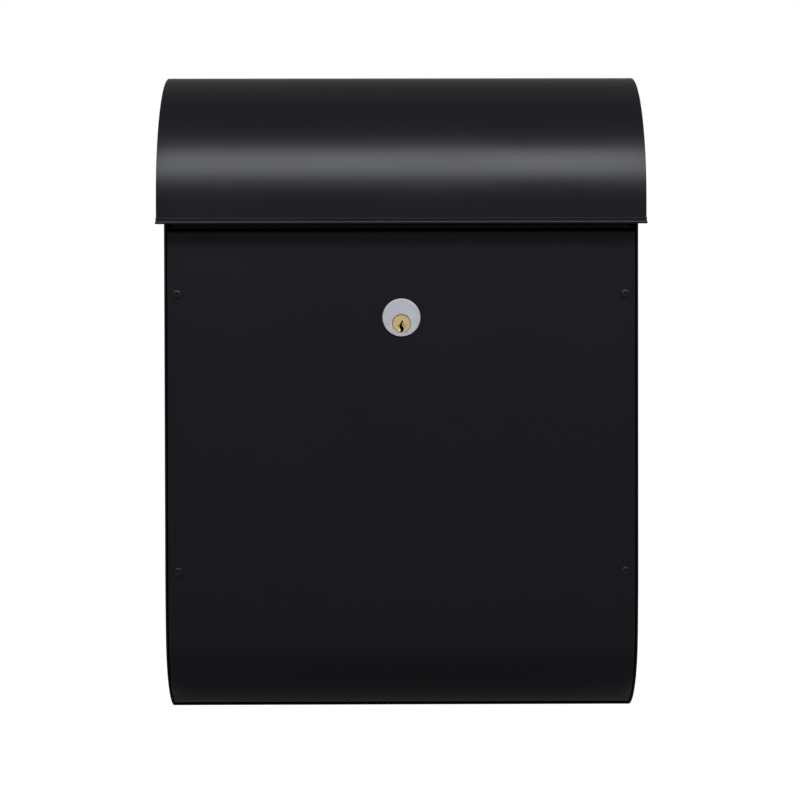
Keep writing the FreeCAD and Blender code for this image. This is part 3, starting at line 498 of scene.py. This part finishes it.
def lid_shell():
    """Middle line up the front, over the front arc to the crest, down the rear arc,
    and on each knuckle round the hinge rod."""
    half = SHEET / 2
    stop = HINGE_ANGLE - HINGE_LEAD / REAR_RADIUS
    front_y = LID_Y - LID_RADIUS + half
    line = join_lines(
        straight_line((front_y, LID_BOTTOM), (front_y, LID_Z), 8),
        arc_line((LID_Y, LID_Z), LID_RADIUS - half, 0, math.pi / 2, 64),
        arc_line((LID_Y, REAR_Z), REAR_RADIUS - half, math.pi / 2, stop, 36))
    parts = rounded_sheet(line, -HALF_LID, HALF_LID, rows=180)
    middle = KNUCKLE_BORE + half
    overlap = 2 * SHEET / REAR_RADIUS
    lead = arc_line((LID_Y, REAR_Z), REAR_RADIUS - half, stop - overlap, HINGE_ANGLE, 6)
    roll_start = HINGE_ANGLE
    roll = arc_line((HINGE_Y, HINGE_Z), middle, roll_start, roll_start + math.radians(325), 40)
    pitch = HINGE_SPAN / HINGE_COUNT
    for index in range(0, HINGE_COUNT, 2):
        x0 = -HINGE_SPAN / 2 + index * pitch + HINGE_END_GAP / 2
        parts += rounded_sheet(join_lines(lead, roll), x0, x0 + pitch - HINGE_END_GAP,
                               thickness=0.96 * SHEET, columns=4, rows=60)
    return new_piece("lid_shell_sheet", parts, "lid", ["lid_shell"])


def cheek_climb(y):
    """How far the lower edge of a cheek has climbed at y, evenly from the front to the rear."""
    front, rear = LID_LOW.y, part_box("lid_cheek_right")[1].y
    return CHEEK_RISE * np.clip((y - front) / (rear - front), 0, 1)


def lid_cheek(side):
    """The cheek's own outline with its lower edge lifted to the climbing line: each point is
    as high as the CAD has it, or as that line if it would lie below it."""
    node = frame["nodes"]["lid_cheek_" + side]
    count = len(node.data.vertices)
    points = np.empty(count * 3)
    node.data.vertices.foreach_get("co", points)
    points = points.reshape(-1, 3)
    points[:, 2] = np.maximum(points[:, 2], LID_BOTTOM + cheek_climb(points[:, 1]))
    triangles = np.empty(len(node.data.polygons) * 3, dtype=int)
    node.data.polygons.foreach_get("vertices", triangles)
    return new_piece("lid_cheek_sheet_" + side, [(points, triangles.reshape(-1, 3))], "lid",
                     ["lid_cheek_" + side])


class MAILBOX_OT_lid_rim(bpy.types.Operator):
    """Make the folded edge of the lid"""

    bl_idname = "mailbox.lid_rim"
    bl_label = "Lid rim"

    def execute(self, context):
        paint(lid_rim(), "black_coat")
        return {"FINISHED"}


def lid_rim():
    """Cross-section of a round roll, a flat band and a small bead, carried round both cheeks
    and the front; each point is the path plus the outward direction times how far the section
    stands proud, and it climbs with the cheeks' lower edges."""
    height = RIM_HIGH.z - RIM_LOW.z
    proud = RIM_HIGH.x - HALF_LID
    angle = np.linspace(-math.pi / 2, math.pi / 2, 15)
    bulge = np.clip(np.cos(angle), 0, 1) ** 0.6
    roll_out = proud * np.where(angle > 0, np.maximum(bulge, 0.25), bulge)
    roll_z = 0.23 * height * (1 + np.sin(angle))
    bead_out = 0.8 * proud * np.where(angle < 0, np.maximum(bulge, 0.3), bulge)
    bead_z = height * (0.91 + 0.09 * np.sin(angle))
    back_z = np.linspace(height, 0, 6)[1:-1]
    out = np.concatenate([roll_out, bead_out, np.zeros(len(back_z))])
    z = RIM_LOW.z + np.concatenate([roll_z, bead_z, back_z])
    corner = np.linspace(0, math.pi / 2, 9)
    rear_y, front_y = RIM_HIGH.y, LID_Y - LID_RADIUS
    side_y = np.linspace(rear_y, front_y, 12)[:-1]
    front_x = np.linspace(-HALF_LID, HALF_LID, 26)[1:-1]
    base = np.concatenate([
        np.stack([np.full(11, -HALF_LID), side_y], 1), np.tile((-HALF_LID, front_y), (9, 1)),
        np.stack([front_x, np.full(24, front_y)], 1), np.tile((HALF_LID, front_y), (9, 1)),
        np.stack([np.full(11, HALF_LID), side_y[::-1]], 1)])
    left = np.stack([-np.cos(corner), -np.sin(corner)], 1)
    right = np.stack([np.sin(corner), -np.cos(corner)], 1)
    outward = np.concatenate([np.tile((-1.0, 0), (11, 1)), left, np.tile((0, -1.0), (24, 1)),
                              right, np.tile((1.0, 0), (11, 1))])
    grid = np.empty((len(base), len(out), 3))
    grid[..., 0] = base[:, :1] + outward[:, :1] * out
    grid[..., 1] = base[:, 1:] + outward[:, 1:] * out
    grid[..., 2] = z + cheek_climb(base[:, 1:])
    parts = [(grid, quad_faces(len(base), len(out), wrap_columns=True))]
    for row in (0, -1):
        ring = grid[row]
        fan = np.stack([ring, np.broadcast_to(ring.mean(0), ring.shape)])
        parts.append((fan, quad_faces(2, len(out), wrap_columns=True)))
    return new_piece("lid_rim_roll", parts, "lid", ["lid_rim"])


class MAILBOX_OT_door(bpy.types.Operator):
    """Make the curved door, and finish its brackets"""

    bl_idname = "mailbox.door"
    bl_label = "Door"

    def execute(self, context):
        paint(door_panel(), "black_coat")
        paint_nodes(["door_bracket_right", "door_bracket_left"])
        return {"FINISHED"}


def door_panel():
    """Middle line from the rear of the top flange, round a fold, down the straight front,
    along the gentle arc and round the toe; a lip and a toe flange are sheets of their own."""
    half = SHEET / 2
    offset = DOOR_RECESS + half
    fold = FOLD_RADIUS - half
    flange_rear = DOOR_Y + DOOR_FLANGE
    top = DOOR_TOP - half
    front = DOOR_Y + half
    line = join_lines(
        straight_line((flange_rear, top), (front + fold, top), 6),
        arc_line((front + fold, top - fold), fold, math.pi / 2, 0, 10),
        straight_line((front, top - fold), (front, GENTLE_Z), 30),
        arc_line((GENTLE_Y, GENTLE_Z), GENTLE_RADIUS - offset, 0, -GENTLE_ANGLE, 12),
        arc_line((TOE_Y, TOE_Z), TOE_RADIUS - offset, -GENTLE_ANGLE, -DOOR_END_ANGLE, 48))
    parts = rounded_sheet(line, -HALF_DOOR, HALF_DOOR, rows=420)
    lip = straight_line((flange_rear - half, DOOR_TOP - SHEET), (flange_rear - half,
                                                              DOOR_TOP - DOOR_LIP), 6)
    half_lip = HALF_DOOR - DOOR_LIP_INSET
    parts += rounded_sheet(lip, -half_lip, half_lip, columns=8)
    end = -DOOR_END_ANGLE + half / TOE_RADIUS
    toe = [(TOE_Y - radius * math.cos(end), TOE_Z + radius * math.sin(end))
           for radius in (TOE_RADIUS - offset - half, TOE_RADIUS - offset - DOOR_TOE_FLANGE)]
    parts += rounded_sheet(straight_line(*toe, 6), -half_lip, half_lip, columns=8)
    door = new_piece("door_sheet", parts, "door", ["door_panel"])
    cut_lock_hole(door)
    return door


def cut_lock_hole(door):
    """Cuts the round hole that the lock body passes through."""
    radius = LOCK_BODY_RADIUS + 0.3 * MM
    rows = [(0, DOOR_Y - SHEET), (radius, DOOR_Y - SHEET),
            (radius, DOOR_Y + 2 * SHEET), (0, DOOR_Y + 2 * SHEET)]
    mesh = bpy.data.meshes.new("lock_hole")
    points, faces = turned(rows, (0, FACE_Z), 96)
    mesh.from_pydata(points.reshape(-1, 3).tolist(), [], faces.tolist())
    clean_mesh(mesh)
    cutter = bpy.data.objects.new("lock_hole", mesh)
    bpy.context.scene.collection.objects.link(cutter)
    modifier = door.modifiers.new("lock_hole", "BOOLEAN")
    modifier.operation = "DIFFERENCE"
    modifier.solver = "EXACT"
    modifier.object = cutter
    bpy.context.view_layer.update()
    shown = door.evaluated_get(bpy.context.evaluated_depsgraph_get())
    cut = bpy.data.meshes.new_from_object(shown)
    door.modifiers.clear()
    door.data = cut
    cut.set_sharp_from_angle(angle=math.radians(30))
    bpy.data.objects.remove(cutter)


class MAILBOX_OT_rivets(bpy.types.Operator):
    """Make the four blind rivets of the door"""

    bl_idname = "mailbox.rivets"
    bl_label = "Door rivets"

    def execute(self, context):
        rivets = door_rivets()
        paint(rivets, "black_rivet")
        # painted shade: the bore of each rivet gets a near-black material in place of the shade inside it
        shade_bore(rivets, "rivet_bore_shade", rivet_axes(), 0.97 * RIVET_BORE,
                   DOOR_Y - RIVET_HEIGHT, DOOR_Y + 2.3 * MM)
        return {"FINISHED"}


def rivet_axes():
    """The (x, z) of each rivet."""
    return [(x, z) for x in (RIVET_LOW.x + RIVET_RADIUS, RIVET_HIGH.x - RIVET_RADIUS)
            for z in (RIVET_LOW.z + RIVET_RADIUS, RIVET_HIGH.z - RIVET_RADIUS)]


def door_rivets():
    """Each rivet is a profile turned about Y: bore, rolled mouth, dome, thin skirt, shank, bulb."""
    dome = np.linspace(0.12, math.pi / 2, 14)
    ball_rows = [(RIVET_BORE + (RIVET_RADIUS - RIVET_BORE) * math.sin(a),
                  DOOR_Y - RIVET_HEIGHT * math.cos(a) ** 0.5) for a in dome]
    rear = RIVET_HIGH.y
    grip = DOOR_Y + 2.2 * MM
    bulb = [(RIVET_SHANK + (RIVET_BULB - RIVET_SHANK) * math.sin(a), grip + (rear - grip) * a / math.pi)
            for a in np.linspace(0, math.pi, 9)]
    rows = [(0, grip), (RIVET_BORE * 0.95, grip),
            (RIVET_BORE * 0.95, DOOR_Y - RIVET_HEIGHT * 0.8)]
    rows += ball_rows + [(RIVET_SHANK, DOOR_Y)] + bulb + [(0, rear)]
    return new_piece("door_rivet_set", [turned(rows, place, 48) for place in rivet_axes()],
                     "door", ["door_rivets"])


class MAILBOX_OT_lock_face(bpy.types.Operator):
    """Make the round lock face and body"""

    bl_idname = "mailbox.lock_face"
    bl_label = "Lock face"

    def execute(self, context):
        paint(lock_face(), "satin_chrome")
        return {"FINISHED"}


def lock_face():
    """Closed surface between two circles that don't share a centre: each row is a blend of the
    plug bore's circle and the face's circle, with its own depth."""
    front, rear = FACE_LOW.y, FACE_HIGH.y
    edge, mouth = 0.35 * MM, 0.08 * MM
    rows = [(0.0, PLUG_BORE, rear), (0.0, PLUG_BORE, front + mouth)]
    rows += [(0.0, PLUG_BORE + mouth * (1 - math.cos(angle)), front + mouth * (1 - math.sin(angle)))
             for angle in np.linspace(0, math.pi / 2, 4)[1:]]
    start = PLUG_BORE + mouth
    for share in np.linspace(0, 1, 12)[1:]:
        rows.append((share, start + (FACE_RADIUS - edge - start) * share, front))
    for angle in np.linspace(0, math.pi / 2, 7)[1:]:
        rows.append((1.0, FACE_RADIUS - edge + edge * math.sin(angle),
                     front + edge * (1 - math.cos(angle))))
    rows += [(1.0, FACE_RADIUS, DOOR_Y), (1.0, LOCK_BODY_RADIUS, DOOR_Y),
             (1.0, LOCK_BODY_RADIUS, rear)]
    rows = np.array(rows)
    angle = np.linspace(0, 2 * math.pi, 128, endpoint=False)
    centre_z = PLUG_Z + (FACE_Z - PLUG_Z) * rows[:, 0]
    grid = np.empty((len(rows), len(angle), 3))
    grid[..., 0] = rows[:, 1:2] * np.sin(angle)
    grid[..., 1] = rows[:, 2:]
    grid[..., 2] = centre_z[:, None] + rows[:, 1:2] * np.cos(angle)
    faces = quad_faces(len(rows), len(angle), wrap_rows=True, wrap_columns=True)
    return new_piece("lock_face_turned", [(grid, faces)], "door",
                     ["lock_housing"])


class MAILBOX_OT_lock_plug(bpy.types.Operator):
    """Make the brass plug with its keyway"""

    bl_idname = "mailbox.lock_plug"
    bl_label = "Lock plug"

    def execute(self, context):
        plug = lock_plug()
        paint(plug, "brass")
        # painted shade: the keyway's walls and floor get a near-black material in place of the shade inside it
        shade_bore(plug, "keyway_shade", [(0, PLUG_Z)], 0.93 * PLUG_RADIUS,
                   PLUG_LOW.y + 1.5 * MM, PLUG_LOW.y + KEYWAY_DEPTH + 0.1 * MM)
        return {"FINISHED"}


def lock_plug():
    """Rows that run from the keyway's floor, up its walls, over the face from the keyway's
    outline to the rim's circle, along the barrel and down to the square tail; the face sinks
    in a round dimple about the keyway's lower part."""
    front, rear = PLUG_LOW.y, PLUG_HIGH.y
    shoulder = rear - TAIL_LENGTH
    angle = np.linspace(0, 2 * math.pi, 144, endpoint=False)
    height = KEYWAY_UP + KEYWAY_DOWN
    middle = (KEYWAY_UP - KEYWAY_DOWN) / 2
    key_z = middle + height / 2 * np.cos(angle)
    low = np.clip((middle + 0.6 * MM - key_z) / (1.2 * MM), 0, 1)
    sway = -KEYWAY_SWAY * np.sin(2.8 * math.pi * (key_z - middle) / height + 0.9)
    half_width = KEYWAY_HALF_WIDTH + (KEYWAY_FOOT_WIDTH - KEYWAY_HALF_WIDTH) * low
    width = half_width * np.sign(np.sin(angle)) * np.abs(np.sin(angle)) ** 0.5
    outline = np.stack([sway + width, key_z], 1)
    spine = np.stack([sway, key_z], 1)
    circle = np.stack([np.sin(angle), np.cos(angle)], 1)
    square_size = TAIL_SQUARE / 2
    reach = np.maximum(np.abs(circle[:, 0]), np.abs(circle[:, 1]))[:, None]
    square = circle / reach * square_size
    rows, depths = [spine, outline, outline], [KEYWAY_DEPTH, KEYWAY_DEPTH, 0.5 * KEYWAY_DEPTH]
    for share in np.linspace(0, 1, 20):
        rows.append(outline + (circle * (PLUG_RADIUS - PLUG_CHAMFER) - outline) * share)
        depths.append(0.0)
    for points, depth in ((circle * PLUG_RADIUS, PLUG_CHAMFER_DEPTH),
                          (circle * PLUG_RADIUS, shoulder - front), (square, shoulder - front),
                          (square, rear - front), (square * 0.02, rear - front)):
        rows.append(points)
        depths.append(depth)
    rows, depths = np.array(rows), np.array(depths)
    grid = np.empty((len(rows), len(angle), 3))
    grid[..., 0] = rows[..., 0]
    grid[..., 2] = PLUG_Z + rows[..., 1]
    off = np.hypot(rows[..., 0], rows[..., 1] + KEYWAY_DOWN * 0.45)
    cone = DIMPLE_DEPTH * np.clip((DIMPLE_RADIUS - off) / (0.35 * DIMPLE_RADIUS), 0, 1)
    on_face = (depths < 0.25 * MM)[:, None]
    grid[..., 1] = front + depths[:, None] + np.where(on_face, cone, 0)
    faces = quad_faces(len(rows), len(angle), wrap_columns=True)
    return new_piece("lock_plug_turned", [(grid, faces)], "lock", ["lock_plug"])


def shade_bore(piece, name, centres, radius, front, rear):
    """Paints shade into the walls and floor of bores: a near-black matt material on the faces that lie nearer
    than the radius to one of the (x, z) centres, and between front and rear."""
    places = np.empty(len(piece.data.polygons) * 3)
    piece.data.polygons.foreach_get("center", places)
    x, y, z = places.reshape(-1, 3).T
    off = np.min([np.hypot(x - middle[0], z - middle[1]) for middle in centres], axis=0)
    inside = (off < radius) & (y > front) & (y < rear)
    # painted shade: this near-black colour stands in for the shade deep inside the bore
    piece.data.materials.append(plain_soft(name, (0.004, 0.003, 0.002), 0.6, 1500))
    piece.data.polygons.foreach_set("material_index", inside.astype(int))


class MAILBOX_OT_lock_works(bpy.types.Operator):
    """Wind the pin springs, and finish the pins, nut, cam and screw"""

    bl_idname = "mailbox.lock_works"
    bl_label = "Lock works"

    def execute(self, context):
        paint(pin_springs(), "zinc_steel")
        paint_nodes(["key_pins", "driver_pins", "chamber_cover", "lock_nut", "lock_cam",
                     "cam_screw"])
        return {"FINISHED"}


def pin_springs():
    """Five helices: a circle of wire carried round a circle while it climbs evenly."""
    low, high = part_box("pin_springs")
    outer = (high.x - low.x) / 2
    turn_radius = outer - SPRING_WIRE
    count = 5
    rows = np.linspace(low.y + outer, high.y - outer, count)
    along = np.linspace(0, 2 * math.pi * SPRING_TURNS, 150)
    around = np.linspace(0, 2 * math.pi, 8, endpoint=False)
    climb = low.z + SPRING_WIRE + (high.z - low.z - 2 * SPRING_WIRE) * along / along[-1]
    parts = []
    for y in rows:
        radius = turn_radius + SPRING_WIRE * np.cos(around)[None, :]
        grid = np.empty((len(along), len(around), 3))
        grid[..., 0] = radius * np.cos(along)[:, None]
        grid[..., 1] = y + radius * np.sin(along)[:, None]
        grid[..., 2] = climb[:, None] + SPRING_WIRE * np.sin(around)[None, :]
        parts.append((grid, quad_faces(len(along), len(around), wrap_columns=True)))
        for row in (0, -1):
            ring = grid[row]
            fan = np.stack([ring, np.broadcast_to(ring.mean(0), ring.shape)])
            parts.append((fan, quad_faces(2, len(around), wrap_columns=True)))
    return new_piece("pin_spring_coils", parts, "door", ["pin_springs"])


class MAILBOX_OT_hardware(bpy.types.Operator):
    """Finish the hinge rod, studs, washers, clips and rubber pads"""

    bl_idname = "mailbox.hardware"
    bl_label = "Hardware"

    def execute(self, context):
        paint_nodes(["lid_hinge_rod", "door_pivot_studs", "door_pivot_clips",
                     "door_pivot_washers", "door_stop_studs", "lid_bumpers", "door_bumpers"])
        return {"FINISHED"}


class MAILBOX_OT_stage(bpy.types.Operator):
    """Set up the camera, lamps, floor and white surroundings"""

    bl_idname = "mailbox.stage"
    bl_label = "Stage"

    def execute(self, context):
        studio = context.scene.mailbox_studio
        make_camera(context.scene, studio)
        make_lamps(context.scene, studio)
        make_floor(context.scene, studio)
        make_world(context.scene, studio)
        context.scene.view_settings.view_transform = "Standard"
        return {"FINISHED"}


def make_camera(scene, studio):
    """Camera from its place and three small turns."""
    turn, tilt, roll = studio.camera_turn, studio.camera_tilt, studio.camera_roll
    right = Vector((math.cos(turn), -math.sin(turn), 0))
    level = Vector((math.sin(turn), math.cos(turn), 0))
    up = Vector((0, 0, 1))
    forward = level * math.cos(tilt) + up * math.sin(tilt)
    raised = up * math.cos(tilt) - level * math.sin(tilt)
    camera_right = right * math.cos(roll) - raised * math.sin(roll)
    camera_up = right * math.sin(roll) + raised * math.cos(roll)
    data = bpy.data.cameras.new("camera")
    data.lens = studio.lens
    data.sensor_width = 36
    camera = bpy.data.objects.new("camera", data)
    scene.collection.objects.link(camera)
    turn_matrix = Matrix((camera_right, camera_up, -forward)).transposed().to_4x4()
    camera.matrix_world = Matrix.Translation(Vector(studio.camera_place)) @ turn_matrix
    scene.camera = camera


def soft_lamp(scene, name, place, target, width, height, power):
    """Rectangular lamp that faces a target."""
    data = bpy.data.lights.new(name, "AREA")
    data.shape = "RECTANGLE"
    data.size, data.size_y = width, height
    data.energy = power
    data.color = scene.mailbox_studio.lamp_colour
    lamp = bpy.data.objects.new(name, data)
    scene.collection.objects.link(lamp)
    away = Vector(place) - Vector(target)
    lamp.location = place
    lamp.rotation_euler = away.to_track_quat("Z", "Y").to_euler()
    lamp.visible_camera = False


def make_lamps(scene, studio):
    """Two long soft lamps of one centre high in front, so that their glow fades towards its
    edges, and a small lamp low down on each side."""
    for height, share in ((0.66, 0.6), (0.34, 0.4)):
        soft_lamp(scene, "key_lamp", (0.05, -1.56, 1.24), (0, -0.15, 0.12), 2.0, height,
                  share * studio.key_power)
    for side in (-1, 1):
        soft_lamp(scene, "low_lamp", (side * 0.46, 0.0, -0.50), (side * 0.17, -0.14, -0.22),
                  0.24, 0.40, studio.low_power)


def math_node(tree, operation, first, second):
    """One sum, product or larger of two; each is a socket or a number."""
    node = tree.nodes.new("ShaderNodeMath")
    node.operation = operation
    for socket, value in zip(node.inputs, (first, second)):
        if isinstance(value, (int, float)):
            socket.default_value = value
        else:
            tree.links.new(value, socket)
    return node.outputs["Value"]


def seen_rays(tree):
    """Which rays look at the surroundings: camera, glossy and transmission rays together, and
    the camera's by themselves."""
    path = tree.nodes.new("ShaderNodeLightPath")
    camera = path.outputs["Is Camera Ray"]
    mirrored = math_node(tree, "MAXIMUM", path.outputs["Is Glossy Ray"],
                         path.outputs["Is Transmission Ray"])
    return math_node(tree, "MAXIMUM", camera, mirrored), camera


def ramp(tree, source, start, end, low, high):
    """Smooth rise from low to high while the source goes from start to end."""
    fade = tree.nodes.new("ShaderNodeMapRange")
    fade.interpolation_type = "SMOOTHSTEP"
    for name, value in (("From Min", start), ("From Max", end), ("To Min", low), ("To Max", high)):
        fade.inputs[name].default_value = value
    tree.links.new(source, fade.inputs["Value"])
    return fade.outputs["Result"]


def make_floor(scene, studio):
    """Pale floor below the box: white to the camera, with a share of its own paint near the
    box that takes the shadow, and dim in reflections, most of all close to the box, where that dimness is a
    painted shadow standing in for the shade beneath it."""
    size, level = 6.0, -0.85
    mesh = bpy.data.meshes.new("floor")
    mesh.from_pydata([(-size, -size, level), (size, -size, level), (size, size, level),
                      (-size, size, level)], [], [(0, 1, 2, 3)])
    floor = bpy.data.objects.new("floor", mesh)
    scene.collection.objects.link(floor)
    material, tree, shader = node_material("floor_paint")
    shader.inputs["Base Color"].default_value = (0.9, 0.9, 0.9, 1)
    shader.inputs["Roughness"].default_value = 0.9
    place = tree.nodes.new("ShaderNodeTexCoord")
    flat = tree.nodes.new("ShaderNodeVectorMath")
    flat.operation = "MULTIPLY"
    flat.inputs[1].default_value = (1, 1, 0)
    reach = tree.nodes.new("ShaderNodeVectorMath")
    reach.operation = "LENGTH"
    tree.links.new(place.outputs["Object"], flat.inputs[0])
    tree.links.new(flat.outputs["Vector"], reach.inputs[0])
    seen, camera = seen_rays(tree)
    white_share = ramp(tree, reach.outputs["Value"], 0.7, 1.8, 0.9, 1.0)
    glow = tree.nodes.new("ShaderNodeEmission")
    # painted shadow: in reflections the floor glows dimmer close to the box than further out, in place of the
    # shade beneath the box
    dim = ramp(tree, reach.outputs["Value"], 0.45, 1.7, studio.under_level, studio.front_level)
    tree.links.new(math_node(tree, "MAXIMUM", math_node(tree, "MULTIPLY", camera, 1.06), dim),
                   glow.inputs["Strength"])
    mix = tree.nodes.new("ShaderNodeMixShader")
    tree.links.new(math_node(tree, "MULTIPLY", seen, white_share), mix.inputs["Fac"])
    tree.links.new(shader.outputs["BSDF"], mix.inputs[1])
    tree.links.new(glow.outputs["Emission"], mix.inputs[2])
    tree.links.new(mix.outputs["Shader"], tree.nodes["Material Output"].inputs["Surface"])
    mesh.materials.append(material)


def make_world(scene, studio):
    """Even light for the object. Where it is seen, it is white to the camera, and in
    reflections it is white straight behind the object and dim elsewhere."""
    world = bpy.data.worlds.new("surroundings")
    scene.world = world
    world.use_nodes = True
    tree = world.node_tree
    light = tree.nodes["Background"]
    light.inputs["Color"].default_value = (1, 1, 1, 1)
    light.inputs["Strength"].default_value = studio.plain_level
    white = tree.nodes.new("ShaderNodeBackground")
    white.inputs["Color"].default_value = (1, 1, 1, 1)
    place = tree.nodes.new("ShaderNodeTexCoord")
    split = tree.nodes.new("ShaderNodeSeparateXYZ")
    tree.links.new(place.outputs["Generated"], split.inputs["Vector"])
    seen, camera = seen_rays(tree)
    backdrop = ramp(tree, split.outputs["Y"], 0.9, 1.0, studio.front_level, 1.0)
    tree.links.new(math_node(tree, "MAXIMUM", backdrop, camera), white.inputs["Strength"])
    mix = tree.nodes.new("ShaderNodeMixShader")
    tree.links.new(seen, mix.inputs["Fac"])
    tree.links.new(light.outputs["Background"], mix.inputs[1])
    tree.links.new(white.outputs["Background"], mix.inputs[2])
    tree.links.new(mix.outputs["Shader"], tree.nodes["World Output"].inputs["Surface"])


class MAILBOX_PT_panel(bpy.types.Panel):
    """Lists the steps and the values that can be changed"""

    bl_label = "Mailbox"
    bl_idname = "MAILBOX_PT_panel"
    bl_space_type = "VIEW_3D"
    bl_region_type = "UI"
    bl_category = "Mailbox"

    def draw(self, context):
        for operator in STEPS:
            self.layout.operator(operator.bl_idname)
        for group in (context.scene.mailbox_finish, context.scene.mailbox_studio):
            for name in group.__annotations__:
                self.layout.prop(group, name)


STEPS = (MAILBOX_OT_stage, MAILBOX_OT_housing, MAILBOX_OT_lid, MAILBOX_OT_lid_rim,
         MAILBOX_OT_door, MAILBOX_OT_rivets, MAILBOX_OT_lock_face, MAILBOX_OT_lock_plug,
         MAILBOX_OT_lock_works, MAILBOX_OT_hardware)
CLASSES = (MailboxFinish, MailboxStudio, *STEPS, MAILBOX_PT_panel)


def register():
    """Registers the classes and hangs the settings on the scene."""
    for cls in CLASSES:
        bpy.utils.register_class(cls)
    bpy.types.Scene.mailbox_finish = PointerProperty(type=MailboxFinish)
    bpy.types.Scene.mailbox_studio = PointerProperty(type=MailboxStudio)


def unregister():
    """Takes the settings and classes away again."""
    del bpy.types.Scene.mailbox_studio
    del bpy.types.Scene.mailbox_finish
    for cls in reversed(CLASSES):
        bpy.utils.unregister_class(cls)


def main():
    """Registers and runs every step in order."""
    register()
    for operator in STEPS:
        group, name = operator.bl_idname.split(".")
        getattr(getattr(bpy.ops, group), name)()


if __name__ == "__main__":
    main()
